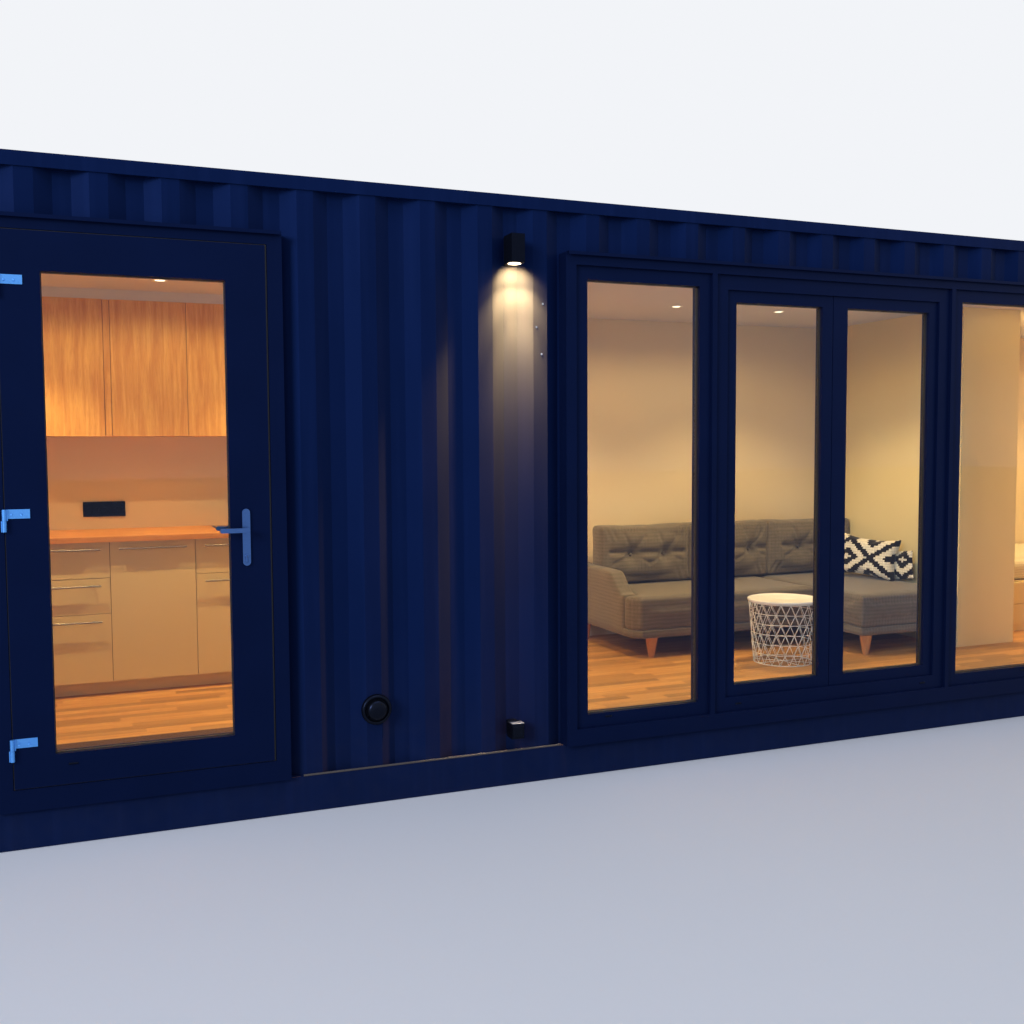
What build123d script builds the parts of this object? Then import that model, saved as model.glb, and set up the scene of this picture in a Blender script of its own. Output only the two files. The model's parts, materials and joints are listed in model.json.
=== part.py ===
from build123d import *
import os

# Cabin made from one 40 ft high-cube shipping container, fitted out as a small home.
# Millimetres. X runs along the container (+X to the right seen from the front),
# Y runs from the front wall to the back wall, Z is up.
# The origin is the middle of the footprint, on the ground.

os.makedirs("parts", exist_ok=True)

# Container box
length = 12192.0
width = 2438.0
height = 2896.0
fitting_length = 178.0
fitting_width = 162.0
fitting_height = 118.0
fitting_wall = 28.0
aperture_from_end = 103.5
aperture_from_side = 89.5
aperture_length = 124.0
aperture_width = 63.5
side_aperture_length = 79.0
end_aperture_length = 63.0
side_aperture_height = 51.0
post_plate = 8.0
rail_height = 167.0
rail_depth = 48.0
rail_plate = 4.5
top_rail = 60.0
top_rail_plate = 3.0

# Cross members under the floor
member_height = 122.0
member_width = 45.0
member_plate = 4.5
member_spacing = 300.0

# Folded steel sheet of the walls and of the roof
sheet = 2.0
sheet_recess = 6.0
fold_outer_flat = 74.0
fold_slope = 70.0
fold_inner_flat = 73.0
fold_depth = 36.0
roof_rib = 95.0
roof_slope = 14.0
roof_valley = 86.0
roof_fold = 20.0
roof_drop = 10.0

# Insulated linings, floor and ceiling
front_build_up = 150.0
back_build_up = 236.0
floor_level = 275.0
oak_boards = 15.0
ceiling_thickness = 163.0

# Entrance door; its place is measured from the left end of the container
door_from_end = 1756.0
door_frame_width = 1215.0
frame_top_drop = 260.0
frame_depth = 70.0
frame_proud = 30.0
door_border = 66.0
door_head = 58.0
door_gap = 5.0
lock_gap = 9.0
door_sill = 95.0
hinge_stile = 160.0
lock_stile = 173.0
door_top_rail = 162.0
door_bottom_rail = 133.0
leaf_proud = 5.0
glass_thickness = 24.0
glass_edge = 12.0
glass_setback = 22.0
glazing_slope = 18.0

# Hinges of the entrance door; two are measured up from the leaf's foot, one down from its top
lower_hinge = 121.0
middle_hinge = 1077.0
upper_hinge = 275.0
hinge_height = 92.0
hinge_radius = 9.0
hinge_pin_radius = 4.0
hinge_arm = 96.0
hinge_arm_height = 38.0
hinge_plate = 4.0
hinge_gap = 1.0

# Lever handle
handle_above_floor = 1046.0
handle_from_lock_edge = 105.0
plate_width = 34.0
plate_height = 253.0
plate_thickness = 9.0
spindle_radius = 5.0
spindle_clearance = 1.0
spindle_below_plate_top = 93.0
lever_length = 128.0
lever_reach = 46.0
lever_height = 20.0
lever_thickness = 13.0

# Windows in one surround: a fixed light, a pair of casements and a second fixed light
window_from_end = 4350.0
surround_border = 56.0
surround_head = 60.0
surround_sill = 83.0
surround_proud = 18.0
mullion = 29.0
side_window_width = 784.0
pair_window_width = 1581.0
side_frame_border = 68.0
pair_frame_border = 76.0
sash_recess = 15.0
sash_gap = 0.3
sash_border = 62.0
left_meeting_stile = 70.0
right_meeting_stile = 97.0
meeting_gap = 4.0
meeting_from_left = 690.0

# Drip flashings over the door and the windows
flashing_reach = 20.0
flashing_drop = 14.0
flashing_plate = 2.0
flashing_inset = 6.0

# Wall lamp, vent cap and outdoor socket on the front wall
lamp_fold = 13
lamp_from_fold = 12.0
lamp_foot_width = 44.0
lamp_width = 68.0
lamp_depth = 104.0
lamp_height = 135.0
lamp_top_drop = 201.0
lamp_lens_radius = 28.0
lamp_lens_depth = 24.0
vent_fold = 11
vent_from_fold = 9.0
vent_level = 447.0
vent_radius = 72.0
vent_inner_radius = 48.0
vent_depth = 44.0
socket_width = 64.0
socket_height = 75.0
socket_depth = 70.0
socket_level = 245.0

# Kitchen along the back wall
kitchen_from_end = 1641.0
kitchen_depth = 617.0
plinth_height = 80.0
plinth_recess = 55.0
front_height = 800.0
worktop_thickness = 30.0
worktop_depth = 655.0
front_thickness = 19.0
front_gap = 3.0
drawer_unit_width = 600.0
middle_unit_width = 468.0
right_unit_width = 600.0
top_drawer_height = 207.0
second_drawer_height = 204.0
right_drawer_height = 208.0
bar_radius = 6.0
bar_post_radius = 5.0
bar_standoff = 30.0
bar_drop = 42.0
bar_inset = 50.0
bar_post_inset = 93.0
wall_unit_top_gap = 58.0
wall_unit_height = 799.0
wall_unit_depth = 340.0
filler_strip = 38.0
filler_setback = 8.0
wall_socket_width = 245.0
wall_socket_height = 92.0
wall_socket_depth = 10.0
wall_socket_left = 460.0
wall_socket_above_worktop = 77.0

# Sofa with a chaise at its right end
sofa_from_end = 5431.0
sofa_width = 2265.0
sofa_depth = 897.0
sofa_wall_gap = 40.0
chaise_width = 815.0
chaise_depth = 1387.0
arm_width = 120.0
arm_setback = 150.0
arm_height = 565.0
seat_height = 415.0
seat_cushion = 200.0
sofa_underside = 133.0
back_frame_depth = 110.0
back_frame_height = 700.0
back_cushion_depth = 210.0
back_cushion_top = 840.0
left_back_cushion = 680.0
leg_top_radius = 42.0
leg_foot_radius = 19.0
leg_inset = 60.0
front_leg_inset = 165.0
chaise_leg_inset = 77.0
soft_gap = 0.3
pillow_size = 500.0
pillow_thickness = 110.0
pillow_tilted_height = 310.0
pillow_from_chaise_front = 463.0
low_pillow_length = 430.0
low_pillow_height = 190.0
low_pillow_from_chaise_front = 370.0

# Round side table, a wire basket with a tray top
table_from_end = 6318.0
table_from_back = 1332.0
table_top_radius = 230.0
table_base_radius = 195.0
table_height = 415.0
tray_thickness = 16.0
basket_wall = 4.0

# Boxed cupboard beside the sofa and the day bed behind it
cupboard_gap = 10.0
cupboard_width = 515.0
cupboard_depth = 1417.0
bed_gap = 120.0
bed_length = 2000.0
bed_depth = 1100.0
bed_height = 380.0
mattress_thickness = 160.0

# Places worked out from the driving dimensions
half_length = length / 2
half_width = width / 2
inner_x = half_length - fitting_length
inner_y = half_width - fitting_width
front_plane = -half_width + sheet_recess
back_plane = half_width - sheet_recess
fold_pitch = fold_outer_flat + 2 * fold_slope + fold_inner_flat
sheet_inside = fold_depth + sheet
sheet_top = height - top_rail
core_half_width = half_width - rail_depth
front_face = front_plane + front_build_up
back_face = back_plane - back_build_up
frame_top = height - frame_top_drop
frame_front = front_plane - frame_proud
frame_back = frame_front + frame_depth
post_top = height - fitting_height
ceiling_level = post_top - ceiling_thickness
fold_count = round(2 * inner_x / fold_pitch)
end_fold_count = round(2 * inner_y / fold_pitch)
wall_fold_start = -(fold_count * fold_pitch + fold_outer_flat) / 2
outer_flat_middle = wall_fold_start + fold_outer_flat / 2
inner_flat_middle = outer_flat_middle + fold_pitch / 2
lamp_x = inner_flat_middle + lamp_fold * fold_pitch - lamp_from_fold
vent_x = outer_flat_middle + vent_fold * fold_pitch + vent_from_fold
door_x = door_from_end - half_length
door_right = door_x + door_frame_width
window_left = window_from_end - half_length
middle_window_x = window_left + surround_border + side_window_width + mullion
right_window_x = middle_window_x + pair_window_width + mullion
window_right = right_window_x + side_window_width + surround_border
lamp_bottom = height - lamp_top_drop - lamp_height


def write(piece, name):
    """Label one finished piece and write its file."""
    piece.part.label = name
    export_step(piece.part, f"parts/{name}.step")


def block(x0, x1, y0, y1, z0, z1, mode=Mode.ADD):
    """A plain block between two corners, added to the part being built."""
    with Locations(((x0 + x1) / 2, (y0 + y1) / 2, (z0 + z1) / 2)):
        Box(x1 - x0, y1 - y0, z1 - z0, mode=mode)


def fold_line(start, count, low, high):
    """Points (along, depth) of the wall folds between low and high."""
    corners = [(low - fold_pitch, 0.0)]
    for number in range(count):
        edge = start + number * fold_pitch + fold_outer_flat
        corners.append((edge, 0.0))
        corners.append((edge + fold_slope, fold_depth))
        corners.append((edge + fold_slope + fold_inner_flat, fold_depth))
        corners.append((edge + fold_pitch - fold_outer_flat, 0.0))
    corners.append((high + fold_pitch, 0.0))
    line = []
    for (a0, d0), (a1, d1) in zip(corners, corners[1:]):
        for end in (low, high):
            if a0 < end < a1:
                line.append((end, d0 + (d1 - d0) * (end - a0) / (a1 - a0)))
        if low <= a1 <= high:
            line.append((a1, d1))
    return sorted(set(line))


def sheet_outline(line, place):
    """Closed outline of a folded sheet; place turns (along, depth) into a point."""
    outside = [place(along, depth) for along, depth in line]
    inside = [place(along, depth + sheet) for along, depth in reversed(line)]
    return outside + inside


def ring(x0, x1, z0, z1, borders, y0, y1):
    """A rectangular frame standing in the XZ plane; borders are left, right, bottom, top."""
    left, right, bottom, top = borders
    block(x0, x1, y0, y1, z0, z1)
    block(x0 + left, x1 - right, y0, y1, z0 + bottom, z1 - top, mode=Mode.SUBTRACT)


def sloped_ring(x0, x1, z0, z1, borders, y0, y1):
    """A ring whose opening slopes from its front face back towards the glass."""
    left, right, bottom, top = borders
    ring(x0, x1, z0, z1, borders, y0, y1)
    low_x = x0 + left
    high_x = x1 - right
    low_z = z0 + bottom
    high_z = z1 - top
    with BuildPart(Plane.XZ.offset(-y0), mode=Mode.SUBTRACT):
        with BuildSketch(Plane.XZ.offset(-y0)):
            with Locations(((low_x + high_x) / 2, (low_z + high_z) / 2)):
                Rectangle(high_x - low_x + 2 * glazing_slope, high_z - low_z + 2 * glazing_slope)
        with BuildSketch(Plane.XZ.offset(-y0 - glazing_slope)):
            with Locations(((low_x + high_x) / 2, (low_z + high_z) / 2)):
                Rectangle(high_x - low_x, high_z - low_z)
        loft()


# Steel frame of the container
with BuildPart() as base_rails:
    for side in (-1, 1):
        outline = [
            (side * half_width, 0),
            (side * core_half_width, 0),
            (side * core_half_width, rail_plate),
            (side * (half_width - rail_plate), rail_plate),
            (side * (half_width - rail_plate), rail_height - rail_plate),
            (side * core_half_width, rail_height - rail_plate),
            (side * core_half_width, rail_height),
            (side * half_width, rail_height),
        ]
        with BuildSketch(Plane.YZ.offset(-inner_x)):
            with BuildLine():
                Polyline(*outline, close=True)
            make_face()
        extrude(amount=2 * inner_x)
        inner_end = side * (half_length - rail_depth)
        outer_end = side * half_length
        block(min(inner_end, outer_end), max(inner_end, outer_end), -inner_y, inner_y, 0, rail_height)
write(base_rails, "base_rails")

with BuildPart() as cross_members:
    member_count = int(2 * inner_x // member_spacing)
    with BuildSketch(Plane.XZ.offset(-core_half_width)):
        with GridLocations(member_spacing, 0, member_count, 1):
            with Locations((0, member_height / 2)):
                Rectangle(member_width, member_height)
            with Locations((member_plate, member_height / 2)):
                Rectangle(member_width, member_height - 2 * member_plate, mode=Mode.SUBTRACT)
    extrude(amount=2 * core_half_width)
write(cross_members, "cross_members")

with BuildPart() as corner_fittings:
    for side_x in (-1, 1):
        for side_y in (-1, 1):
            for side_z in (-1, 1):
                middle_x = side_x * (half_length - fitting_length / 2)
                middle_y = side_y * (half_width - fitting_width / 2)
                middle_z = height / 2 + side_z * (height - fitting_height) / 2
                with Locations((middle_x, middle_y, middle_z)):
                    Box(fitting_length, fitting_width, fitting_height)
                    Box(
                        fitting_length - 2 * fitting_wall,
                        fitting_width - 2 * fitting_wall,
                        fitting_height - 2 * fitting_wall,
                        mode=Mode.SUBTRACT,
                    )
                end_x = side_x * half_length
                face_y = side_y * half_width
                face_z = height / 2 + side_z * height / 2
                with BuildSketch(Plane.XY.offset(face_z)):
                    aperture_x = end_x - side_x * aperture_from_end
                    aperture_y = face_y - side_y * aperture_from_side
                    with Locations((aperture_x, aperture_y)):
                        SlotOverall(aperture_length, aperture_width)
                extrude(amount=-side_z * fitting_wall, mode=Mode.SUBTRACT)
                with BuildSketch(Plane.XZ.offset(-face_y)):
                    with Locations((middle_x, middle_z)):
                        SlotOverall(side_aperture_length, side_aperture_height)
                extrude(amount=side_y * fitting_wall, mode=Mode.SUBTRACT)
                with BuildSketch(Plane.YZ.offset(end_x)):
                    with Locations((middle_y, middle_z)):
                        SlotOverall(end_aperture_length, side_aperture_height)
                extrude(amount=-side_x * fitting_wall, mode=Mode.SUBTRACT)
write(corner_fittings, "corner_fittings")

with BuildPart() as corner_posts:
    with BuildSketch(Plane.XY.offset(fitting_height)):
        for side_x in (-1, 1):
            for side_y in (-1, 1):
                plate_x = side_x * (half_length - fitting_length / 2)
                plate_y = side_y * (half_width - post_plate / 2)
                with Locations((plate_x, plate_y)):
                    Rectangle(fitting_length, post_plate)
                end_plate_x = side_x * (half_length - post_plate / 2)
                end_plate_y = side_y * (half_width - fitting_width / 2)
                with Locations((end_plate_x, end_plate_y)):
                    Rectangle(post_plate, fitting_width)
    extrude(amount=post_top - fitting_height)
write(corner_posts, "corner_posts")

with BuildPart() as top_rails:
    for side in (-1, 1):
        with BuildSketch(Plane.YZ.offset(-inner_x)):
            with Locations((side * (half_width - top_rail / 2), height - top_rail / 2)):
                Rectangle(top_rail, top_rail)
                Rectangle(top_rail - 2 * top_rail_plate, top_rail - 2 * top_rail_plate, mode=Mode.SUBTRACT)
        extrude(amount=2 * inner_x)
        with BuildSketch(Plane.XZ.offset(-inner_y)):
            with Locations((side * (half_length - top_rail / 2), height - top_rail / 2)):
                Rectangle(top_rail, top_rail)
                Rectangle(top_rail - 2 * top_rail_plate, top_rail - 2 * top_rail_plate, mode=Mode.SUBTRACT)
        extrude(amount=2 * inner_y)
write(top_rails, "top_rails")

# Folded walls. The folds of the front are cut where the door and the windows go in.
end_fold_start = -(end_fold_count * fold_pitch + fold_outer_flat) / 2


def front_point(along, depth):
    return (along, front_plane + depth)


def back_point(along, depth):
    return (along, back_plane - depth)


def folded_sheet(spans, bottom, top, place, start=wall_fold_start, count=fold_count):
    """Folded sheets that stand between bottom and top, one for each span along the wall."""
    with BuildPart() as wall:
        for low, high in spans:
            outline = sheet_outline(fold_line(start, count, low, high), place)
            with BuildSketch(Plane.XY.offset(bottom)):
                with BuildLine():
                    Polyline(*outline, close=True)
                make_face()
            extrude(amount=top - bottom)
    return wall


front_sheet_left = folded_sheet([(-inner_x, door_x)], rail_height, sheet_top, front_point)
write(front_sheet_left, "front_sheet_left")

front_sheet_middle = folded_sheet([(door_right, window_left)], rail_height, sheet_top, front_point)
write(front_sheet_middle, "front_sheet_middle")

front_sheet_right = folded_sheet([(window_right, inner_x)], rail_height, sheet_top, front_point)
write(front_sheet_right, "front_sheet_right")

header_spans = [(door_x, door_right), (window_left, window_right)]
front_sheet_headers = folded_sheet(header_spans, frame_top, sheet_top, front_point)
write(front_sheet_headers, "front_sheet_headers")

back_sheet = folded_sheet([(-inner_x, inner_x)], rail_height, sheet_top, back_point)
write(back_sheet, "back_sheet")

with BuildPart() as end_sheets:
    for side in (-1, 1):
        end_plane = side * (half_length - sheet_recess)
        end_line = fold_line(end_fold_start, end_fold_count, -inner_y, inner_y)
        outline = sheet_outline(end_line, lambda along, depth: (end_plane - side * depth, along))
        with BuildSketch(Plane.XY.offset(rail_height)):
            with BuildLine():
                Polyline(*outline, close=True)
            make_face()
        extrude(amount=sheet_top - rail_height)
write(end_sheets, "end_sheets")

# Roof sheet with ribs across the container
with BuildPart() as roof_sheet:
    rib_pitch = roof_rib + 2 * roof_slope + roof_valley
    roof_half_length = half_length - top_rail
    roof_rib_count = int(2 * roof_half_length // rib_pitch)
    rib_start = -(roof_rib_count * rib_pitch - roof_valley) / 2
    roof_half_width = half_width - top_rail
    roof_level = height - roof_drop
    line = [(-roof_half_length, roof_fold)]
    for number in range(roof_rib_count):
        rib = rib_start + number * rib_pitch
        line.append((rib - roof_slope, roof_fold))
        line.append((rib, 0.0))
        line.append((rib + roof_rib, 0.0))
        line.append((rib + roof_rib + roof_slope, roof_fold))
    line.append((roof_half_length, roof_fold))
    line = [point for point in line if abs(point[0]) <= roof_half_length]
    outline = sheet_outline(line, lambda along, depth: (along, roof_level - depth))
    with BuildSketch(Plane.XZ.offset(-roof_half_width)):
        with BuildLine():
            Polyline(*outline, close=True)
        make_face()
    extrude(amount=2 * roof_half_width)
    for side_x in (-1, 1):
        for side_y in (-1, 1):
            with Locations((side_x * half_length, side_y * half_width, roof_level)):
                Box(2 * fitting_length, 2 * fitting_width, 4 * roof_fold, mode=Mode.SUBTRACT)
write(roof_sheet, "roof_sheet")

# Insulated linings, floor and ceiling
with BuildPart() as front_lining:
    lining_outside = front_plane + sheet_inside
    for low, high in ((-inner_x, door_x), (door_right, window_left), (window_right, inner_x)):
        block(low, high, lining_outside, front_face, floor_level - oak_boards, ceiling_level)
write(front_lining, "front_lining")

with BuildPart() as back_lining:
    block(-inner_x, inner_x, back_face, back_plane - sheet_inside, floor_level - oak_boards, ceiling_level)
write(back_lining, "back_lining")

with BuildPart() as end_linings:
    lining_end = half_length - sheet_recess - sheet_inside
    block(inner_x, lining_end, -inner_y, inner_y, rail_height, post_top)
    block(-lining_end, -inner_x, -inner_y, inner_y, rail_height, post_top)
write(end_linings, "end_linings")

with BuildPart() as floor_core:
    block(-inner_x, inner_x, -core_half_width, core_half_width, member_height, floor_level - oak_boards)
write(floor_core, "floor_core")

with BuildPart() as oak_floor:
    block(-inner_x, inner_x, front_face, back_face, floor_level - oak_boards, floor_level)
    block(door_x, door_right, -core_half_width, front_face, floor_level - oak_boards, floor_level)
    block(window_left, window_right, -core_half_width, front_face, floor_level - oak_boards, floor_level)
write(oak_floor, "oak_floor")

with BuildPart() as ceiling:
    block(-inner_x, inner_x, -core_half_width, core_half_width, ceiling_level, post_top)
write(ceiling, "ceiling")

# Entrance door
leaf_left = door_x + door_border + door_gap
leaf_right = door_right - door_border - lock_gap
leaf_bottom = rail_height + door_sill + door_gap
leaf_top = frame_top - door_head - door_gap
leaf_front = frame_front - leaf_proud
leaf_back = leaf_front + frame_depth
glass_left = leaf_left + hinge_stile
glass_right = leaf_right - lock_stile
glass_bottom = leaf_bottom + door_bottom_rail
glass_top = leaf_top - door_top_rail
glass_front = leaf_front + glass_setback
glass_back = glass_front + glass_thickness

with BuildPart() as door_frame:
    door_borders = (door_border, door_border, door_sill, door_head)
    ring(door_x, door_right, rail_height, frame_top, door_borders, frame_front, frame_back)
write(door_frame, "door_frame")

with BuildPart() as door_glass:
    block(
        glass_left - glass_edge,
        glass_right + glass_edge,
        glass_front,
        glass_back,
        glass_bottom - glass_edge,
        glass_top + glass_edge,
    )
write(door_glass, "door_glass")

handle_x = leaf_right - handle_from_lock_edge
handle_level = floor_level + handle_above_floor

with BuildPart() as door_leaf:
    leaf_borders = (hinge_stile, lock_stile, door_bottom_rail, door_top_rail)
    sloped_ring(leaf_left, leaf_right, leaf_bottom, leaf_top, leaf_borders, leaf_front, leaf_back)
    add(door_glass.part, mode=Mode.SUBTRACT)
    with Locations(Location((handle_x, (leaf_front + leaf_back) / 2, handle_level), (90, 0, 0))):
        Cylinder(spindle_radius + spindle_clearance, 2 * frame_depth, mode=Mode.SUBTRACT)
write(door_leaf, "door_leaf")

# The hinge axis stands in front of the joint between frame and leaf.
hinge_x = leaf_left - door_gap / 2
hinge_y = leaf_front - hinge_radius - hinge_gap
hinge_levels = (leaf_bottom + lower_hinge, leaf_bottom + middle_hinge, leaf_top - upper_hinge)
standing = (Align.CENTER, Align.CENTER, Align.MIN)

with BuildPart() as hinge_pins:
    for level in hinge_levels:
        with Locations((hinge_x, hinge_y, level)):
            Cylinder(hinge_pin_radius, hinge_height, align=standing)
            Cylinder(hinge_radius, hinge_height / 2 - hinge_gap, align=standing)
        block(
            hinge_x - hinge_radius - hinge_plate,
            hinge_x,
            hinge_y,
            frame_front,
            level,
            level + hinge_height / 2 - hinge_gap,
        )
write(hinge_pins, "hinge_pins")

with BuildPart() as hinge_arms:
    for level in hinge_levels:
        middle = level + hinge_height / 2
        top = level + hinge_height
        with Locations((hinge_x, hinge_y, middle)):
            Cylinder(hinge_radius, hinge_height / 2, align=standing)
        arm_foot = top - hinge_arm_height
        block(hinge_x, hinge_x + hinge_arm, leaf_front - hinge_plate, leaf_front, arm_foot, top)
        block(hinge_x, hinge_x + hinge_radius + hinge_plate, hinge_y, leaf_front, middle, top)
        with Locations((hinge_x, hinge_y, level)):
            Cylinder(
                hinge_pin_radius + spindle_clearance,
                hinge_height,
                align=standing,
                mode=Mode.SUBTRACT,
            )
write(hinge_arms, "hinge_arms")

with BuildPart() as handle_plates:
    plate_middle = handle_level + spindle_below_plate_top - plate_height / 2
    for face, way in ((leaf_front, 1), (leaf_back, -1)):
        with BuildSketch(Plane.XZ.offset(-face)):
            with Locations((handle_x, plate_middle)):
                SlotOverall(plate_height, plate_width, rotation=90)
            with Locations((handle_x, handle_level)):
                Circle(spindle_radius + spindle_clearance, mode=Mode.SUBTRACT)
        extrude(amount=way * plate_thickness)
write(handle_plates, "handle_plates")

with BuildPart() as lever_set:
    lever_front = leaf_front - plate_thickness - lever_reach
    lever_back = leaf_back + plate_thickness + lever_reach
    with Locations(Location((handle_x, (lever_front + lever_back) / 2, handle_level), (90, 0, 0))):
        Cylinder(spindle_radius, lever_back - lever_front - lever_thickness)
    for face, way in ((lever_front, -1), (lever_back, 1)):
        with BuildSketch(Plane.XZ.offset(-face)):
            with Locations((handle_x - (lever_length - lever_height) / 2, handle_level)):
                SlotOverall(lever_length, lever_height)
        extrude(amount=way * lever_thickness)
        with Locations(Location((handle_x, face - way * lever_thickness / 2, handle_level), (90, 0, 0))):
            Cylinder(lever_height / 2, lever_thickness)
write(lever_set, "lever_set")

# Window group
surround_front = frame_front - surround_proud
opening_bottom = rail_height + surround_sill
opening_top = frame_top - surround_head
window_spans = [
    (window_left + surround_border, middle_window_x - mullion),
    (middle_window_x, right_window_x - mullion),
    (right_window_x, window_right - surround_border),
]

with BuildPart() as window_surround:
    block(window_left, window_right, surround_front, frame_back, rail_height, frame_top)
    for low, high in window_spans:
        block(low, high, surround_front, frame_back, opening_bottom, opening_top, mode=Mode.SUBTRACT)
write(window_surround, "window_surround")

frame_borders = (side_frame_border, pair_frame_border, side_frame_border)
sash_front = frame_front + sash_recess
sash_low = window_spans[1][0] + pair_frame_border + sash_gap
sash_high = window_spans[1][1] - pair_frame_border - sash_gap
sash_bottom = opening_bottom + pair_frame_border + sash_gap
sash_top = opening_top - pair_frame_border - sash_gap
meeting_x = sash_low + meeting_from_left
left_sash_borders = (sash_border, left_meeting_stile, sash_border, sash_border)
right_sash_borders = (right_meeting_stile, sash_border, sash_border, sash_border)
left_sash = (sash_low, meeting_x - meeting_gap / 2, left_sash_borders)
right_sash = (meeting_x + meeting_gap / 2, sash_high, right_sash_borders)


def pane(x0, x1, z0, z1, front):
    """A sealed unit that reaches into the grooves around its clear opening."""
    glass_y = front + glass_setback
    block(
        x0 - glass_edge,
        x1 + glass_edge,
        glass_y,
        glass_y + glass_thickness,
        z0 - glass_edge,
        z1 + glass_edge,
    )


with BuildPart() as window_glass:
    for low, high in (window_spans[0], window_spans[2]):
        pane(
            low + side_frame_border,
            high - side_frame_border,
            opening_bottom + side_frame_border,
            opening_top - side_frame_border,
            frame_front,
        )
    for low, high, (left, right, bottom, top) in (left_sash, right_sash):
        pane(low + left, high - right, sash_bottom + bottom, sash_top - top, sash_front)
write(window_glass, "window_glass")

with BuildPart() as window_frames:
    for (low, high), border, fit in zip(window_spans, frame_borders, (sloped_ring, ring, sloped_ring)):
        fit(low, high, opening_bottom, opening_top, (border,) * 4, frame_front, frame_back)
    add(window_glass.part, mode=Mode.SUBTRACT)
write(window_frames, "window_frames")

with BuildPart() as window_sashes:
    for low, high, borders in (left_sash, right_sash):
        sloped_ring(low, high, sash_bottom, sash_top, borders, sash_front, frame_back)
    add(window_glass.part, mode=Mode.SUBTRACT)
write(window_sashes, "window_sashes")

with BuildPart() as drip_flashings:
    door_flashing = (door_x, door_right, frame_front)
    window_flashing = (window_left, window_right, surround_front)
    for low, high, front in (door_flashing, window_flashing):
        left = low + flashing_inset
        right = high - flashing_inset
        nose = front - flashing_reach
        block(left, right, nose, front_plane, frame_top, frame_top + flashing_plate)
        block(left, right, nose, nose + flashing_plate, frame_top - flashing_drop, frame_top)
write(drip_flashings, "drip_flashings")

# Fittings on the front wall
with BuildPart() as wall_lamp:
    lamp_foot_left = lamp_x - lamp_foot_width / 2
    lamp_foot_right = lamp_x + lamp_foot_width / 2
    block(
        lamp_x - lamp_width / 2,
        lamp_x + lamp_width / 2,
        front_plane - lamp_depth,
        front_plane,
        lamp_bottom,
        lamp_bottom + lamp_height,
    )
    with BuildSketch(Plane.XY.offset(lamp_bottom)):
        with Locations((lamp_x, front_plane - lamp_depth / 2)):
            Circle(lamp_lens_radius)
    extrude(amount=lamp_lens_depth, mode=Mode.SUBTRACT)
    inner_flat = front_plane + fold_depth
    block(lamp_foot_left, lamp_foot_right, front_plane, inner_flat, lamp_bottom, lamp_bottom + lamp_height)
write(wall_lamp, "wall_lamp")

with BuildPart() as vent_cap:
    with BuildSketch(Plane.XZ.offset(-front_plane)):
        with Locations((vent_x, vent_level)):
            Circle(vent_radius)
    extrude(amount=vent_depth / 2)
    with BuildSketch(Plane.XZ.offset(-front_plane + vent_depth / 2)):
        with Locations((vent_x, vent_level)):
            Circle(vent_inner_radius)
    extrude(amount=vent_depth / 2)
write(vent_cap, "vent_cap")

with BuildPart() as socket_box:
    socket_top = socket_level + socket_height
    block(
        lamp_x - socket_width / 2,
        lamp_x + socket_width / 2,
        front_plane - socket_depth,
        front_plane,
        socket_level,
        socket_top,
    )
    block(lamp_foot_left, lamp_foot_right, front_plane, inner_flat, socket_level, socket_top)
write(socket_box, "socket_box")

# Kitchen along the back wall
carcase_front = back_face - kitchen_depth + front_thickness
plinth_top = floor_level + plinth_height
units_top = plinth_top + front_height + front_gap
worktop_top = units_top + worktop_thickness
kitchen_left = kitchen_from_end - half_length
second_unit = kitchen_left + drawer_unit_width
third_unit = second_unit + middle_unit_width
kitchen_right = third_unit + right_unit_width

with BuildPart() as base_units:
    block(kitchen_left, kitchen_right, carcase_front, back_face, plinth_top, units_top)
    block(kitchen_left, kitchen_right, carcase_front + plinth_recess, back_face, floor_level, plinth_top)
write(base_units, "base_units")

fronts = []
first_split = units_top - top_drawer_height
second_split = first_split - second_drawer_height
right_split = units_top - right_drawer_height
drawer_tops = [units_top, first_split, second_split, plinth_top]
for top, bottom in zip(drawer_tops, drawer_tops[1:]):
    fronts.append((kitchen_left, second_unit, bottom, top))
fronts.append((second_unit, third_unit, plinth_top, units_top))
fronts.append((third_unit, kitchen_right, right_split, units_top))
fronts.append((third_unit, kitchen_right, plinth_top, right_split))

with BuildPart() as unit_fronts:
    for low, high, bottom, top in fronts:
        block(
            low + front_gap / 2,
            high - front_gap / 2,
            carcase_front - front_thickness,
            carcase_front,
            bottom + front_gap / 2,
            top - front_gap / 2,
        )
write(unit_fronts, "unit_fronts")

with BuildPart() as unit_handles:
    fronts_face = carcase_front - front_thickness
    for low, high, bottom, top in fronts:
        bar_level = top - bar_drop
        bar_length = high - low - 2 * bar_inset
        bar_y = fronts_face - bar_standoff
        with Locations(Location(((low + high) / 2, bar_y, bar_level), (0, 90, 0))):
            Cylinder(bar_radius, bar_length)
        for post_x in (low + bar_post_inset, high - bar_post_inset):
            with Locations(Location((post_x, (bar_y + fronts_face) / 2, bar_level), (90, 0, 0))):
                Cylinder(bar_post_radius, bar_standoff)
write(unit_handles, "unit_handles")

with BuildPart() as worktop:
    block(
        kitchen_left,
        kitchen_right,
        back_face - worktop_depth,
        back_face,
        units_top,
        worktop_top,
    )
write(worktop, "worktop")

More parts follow.
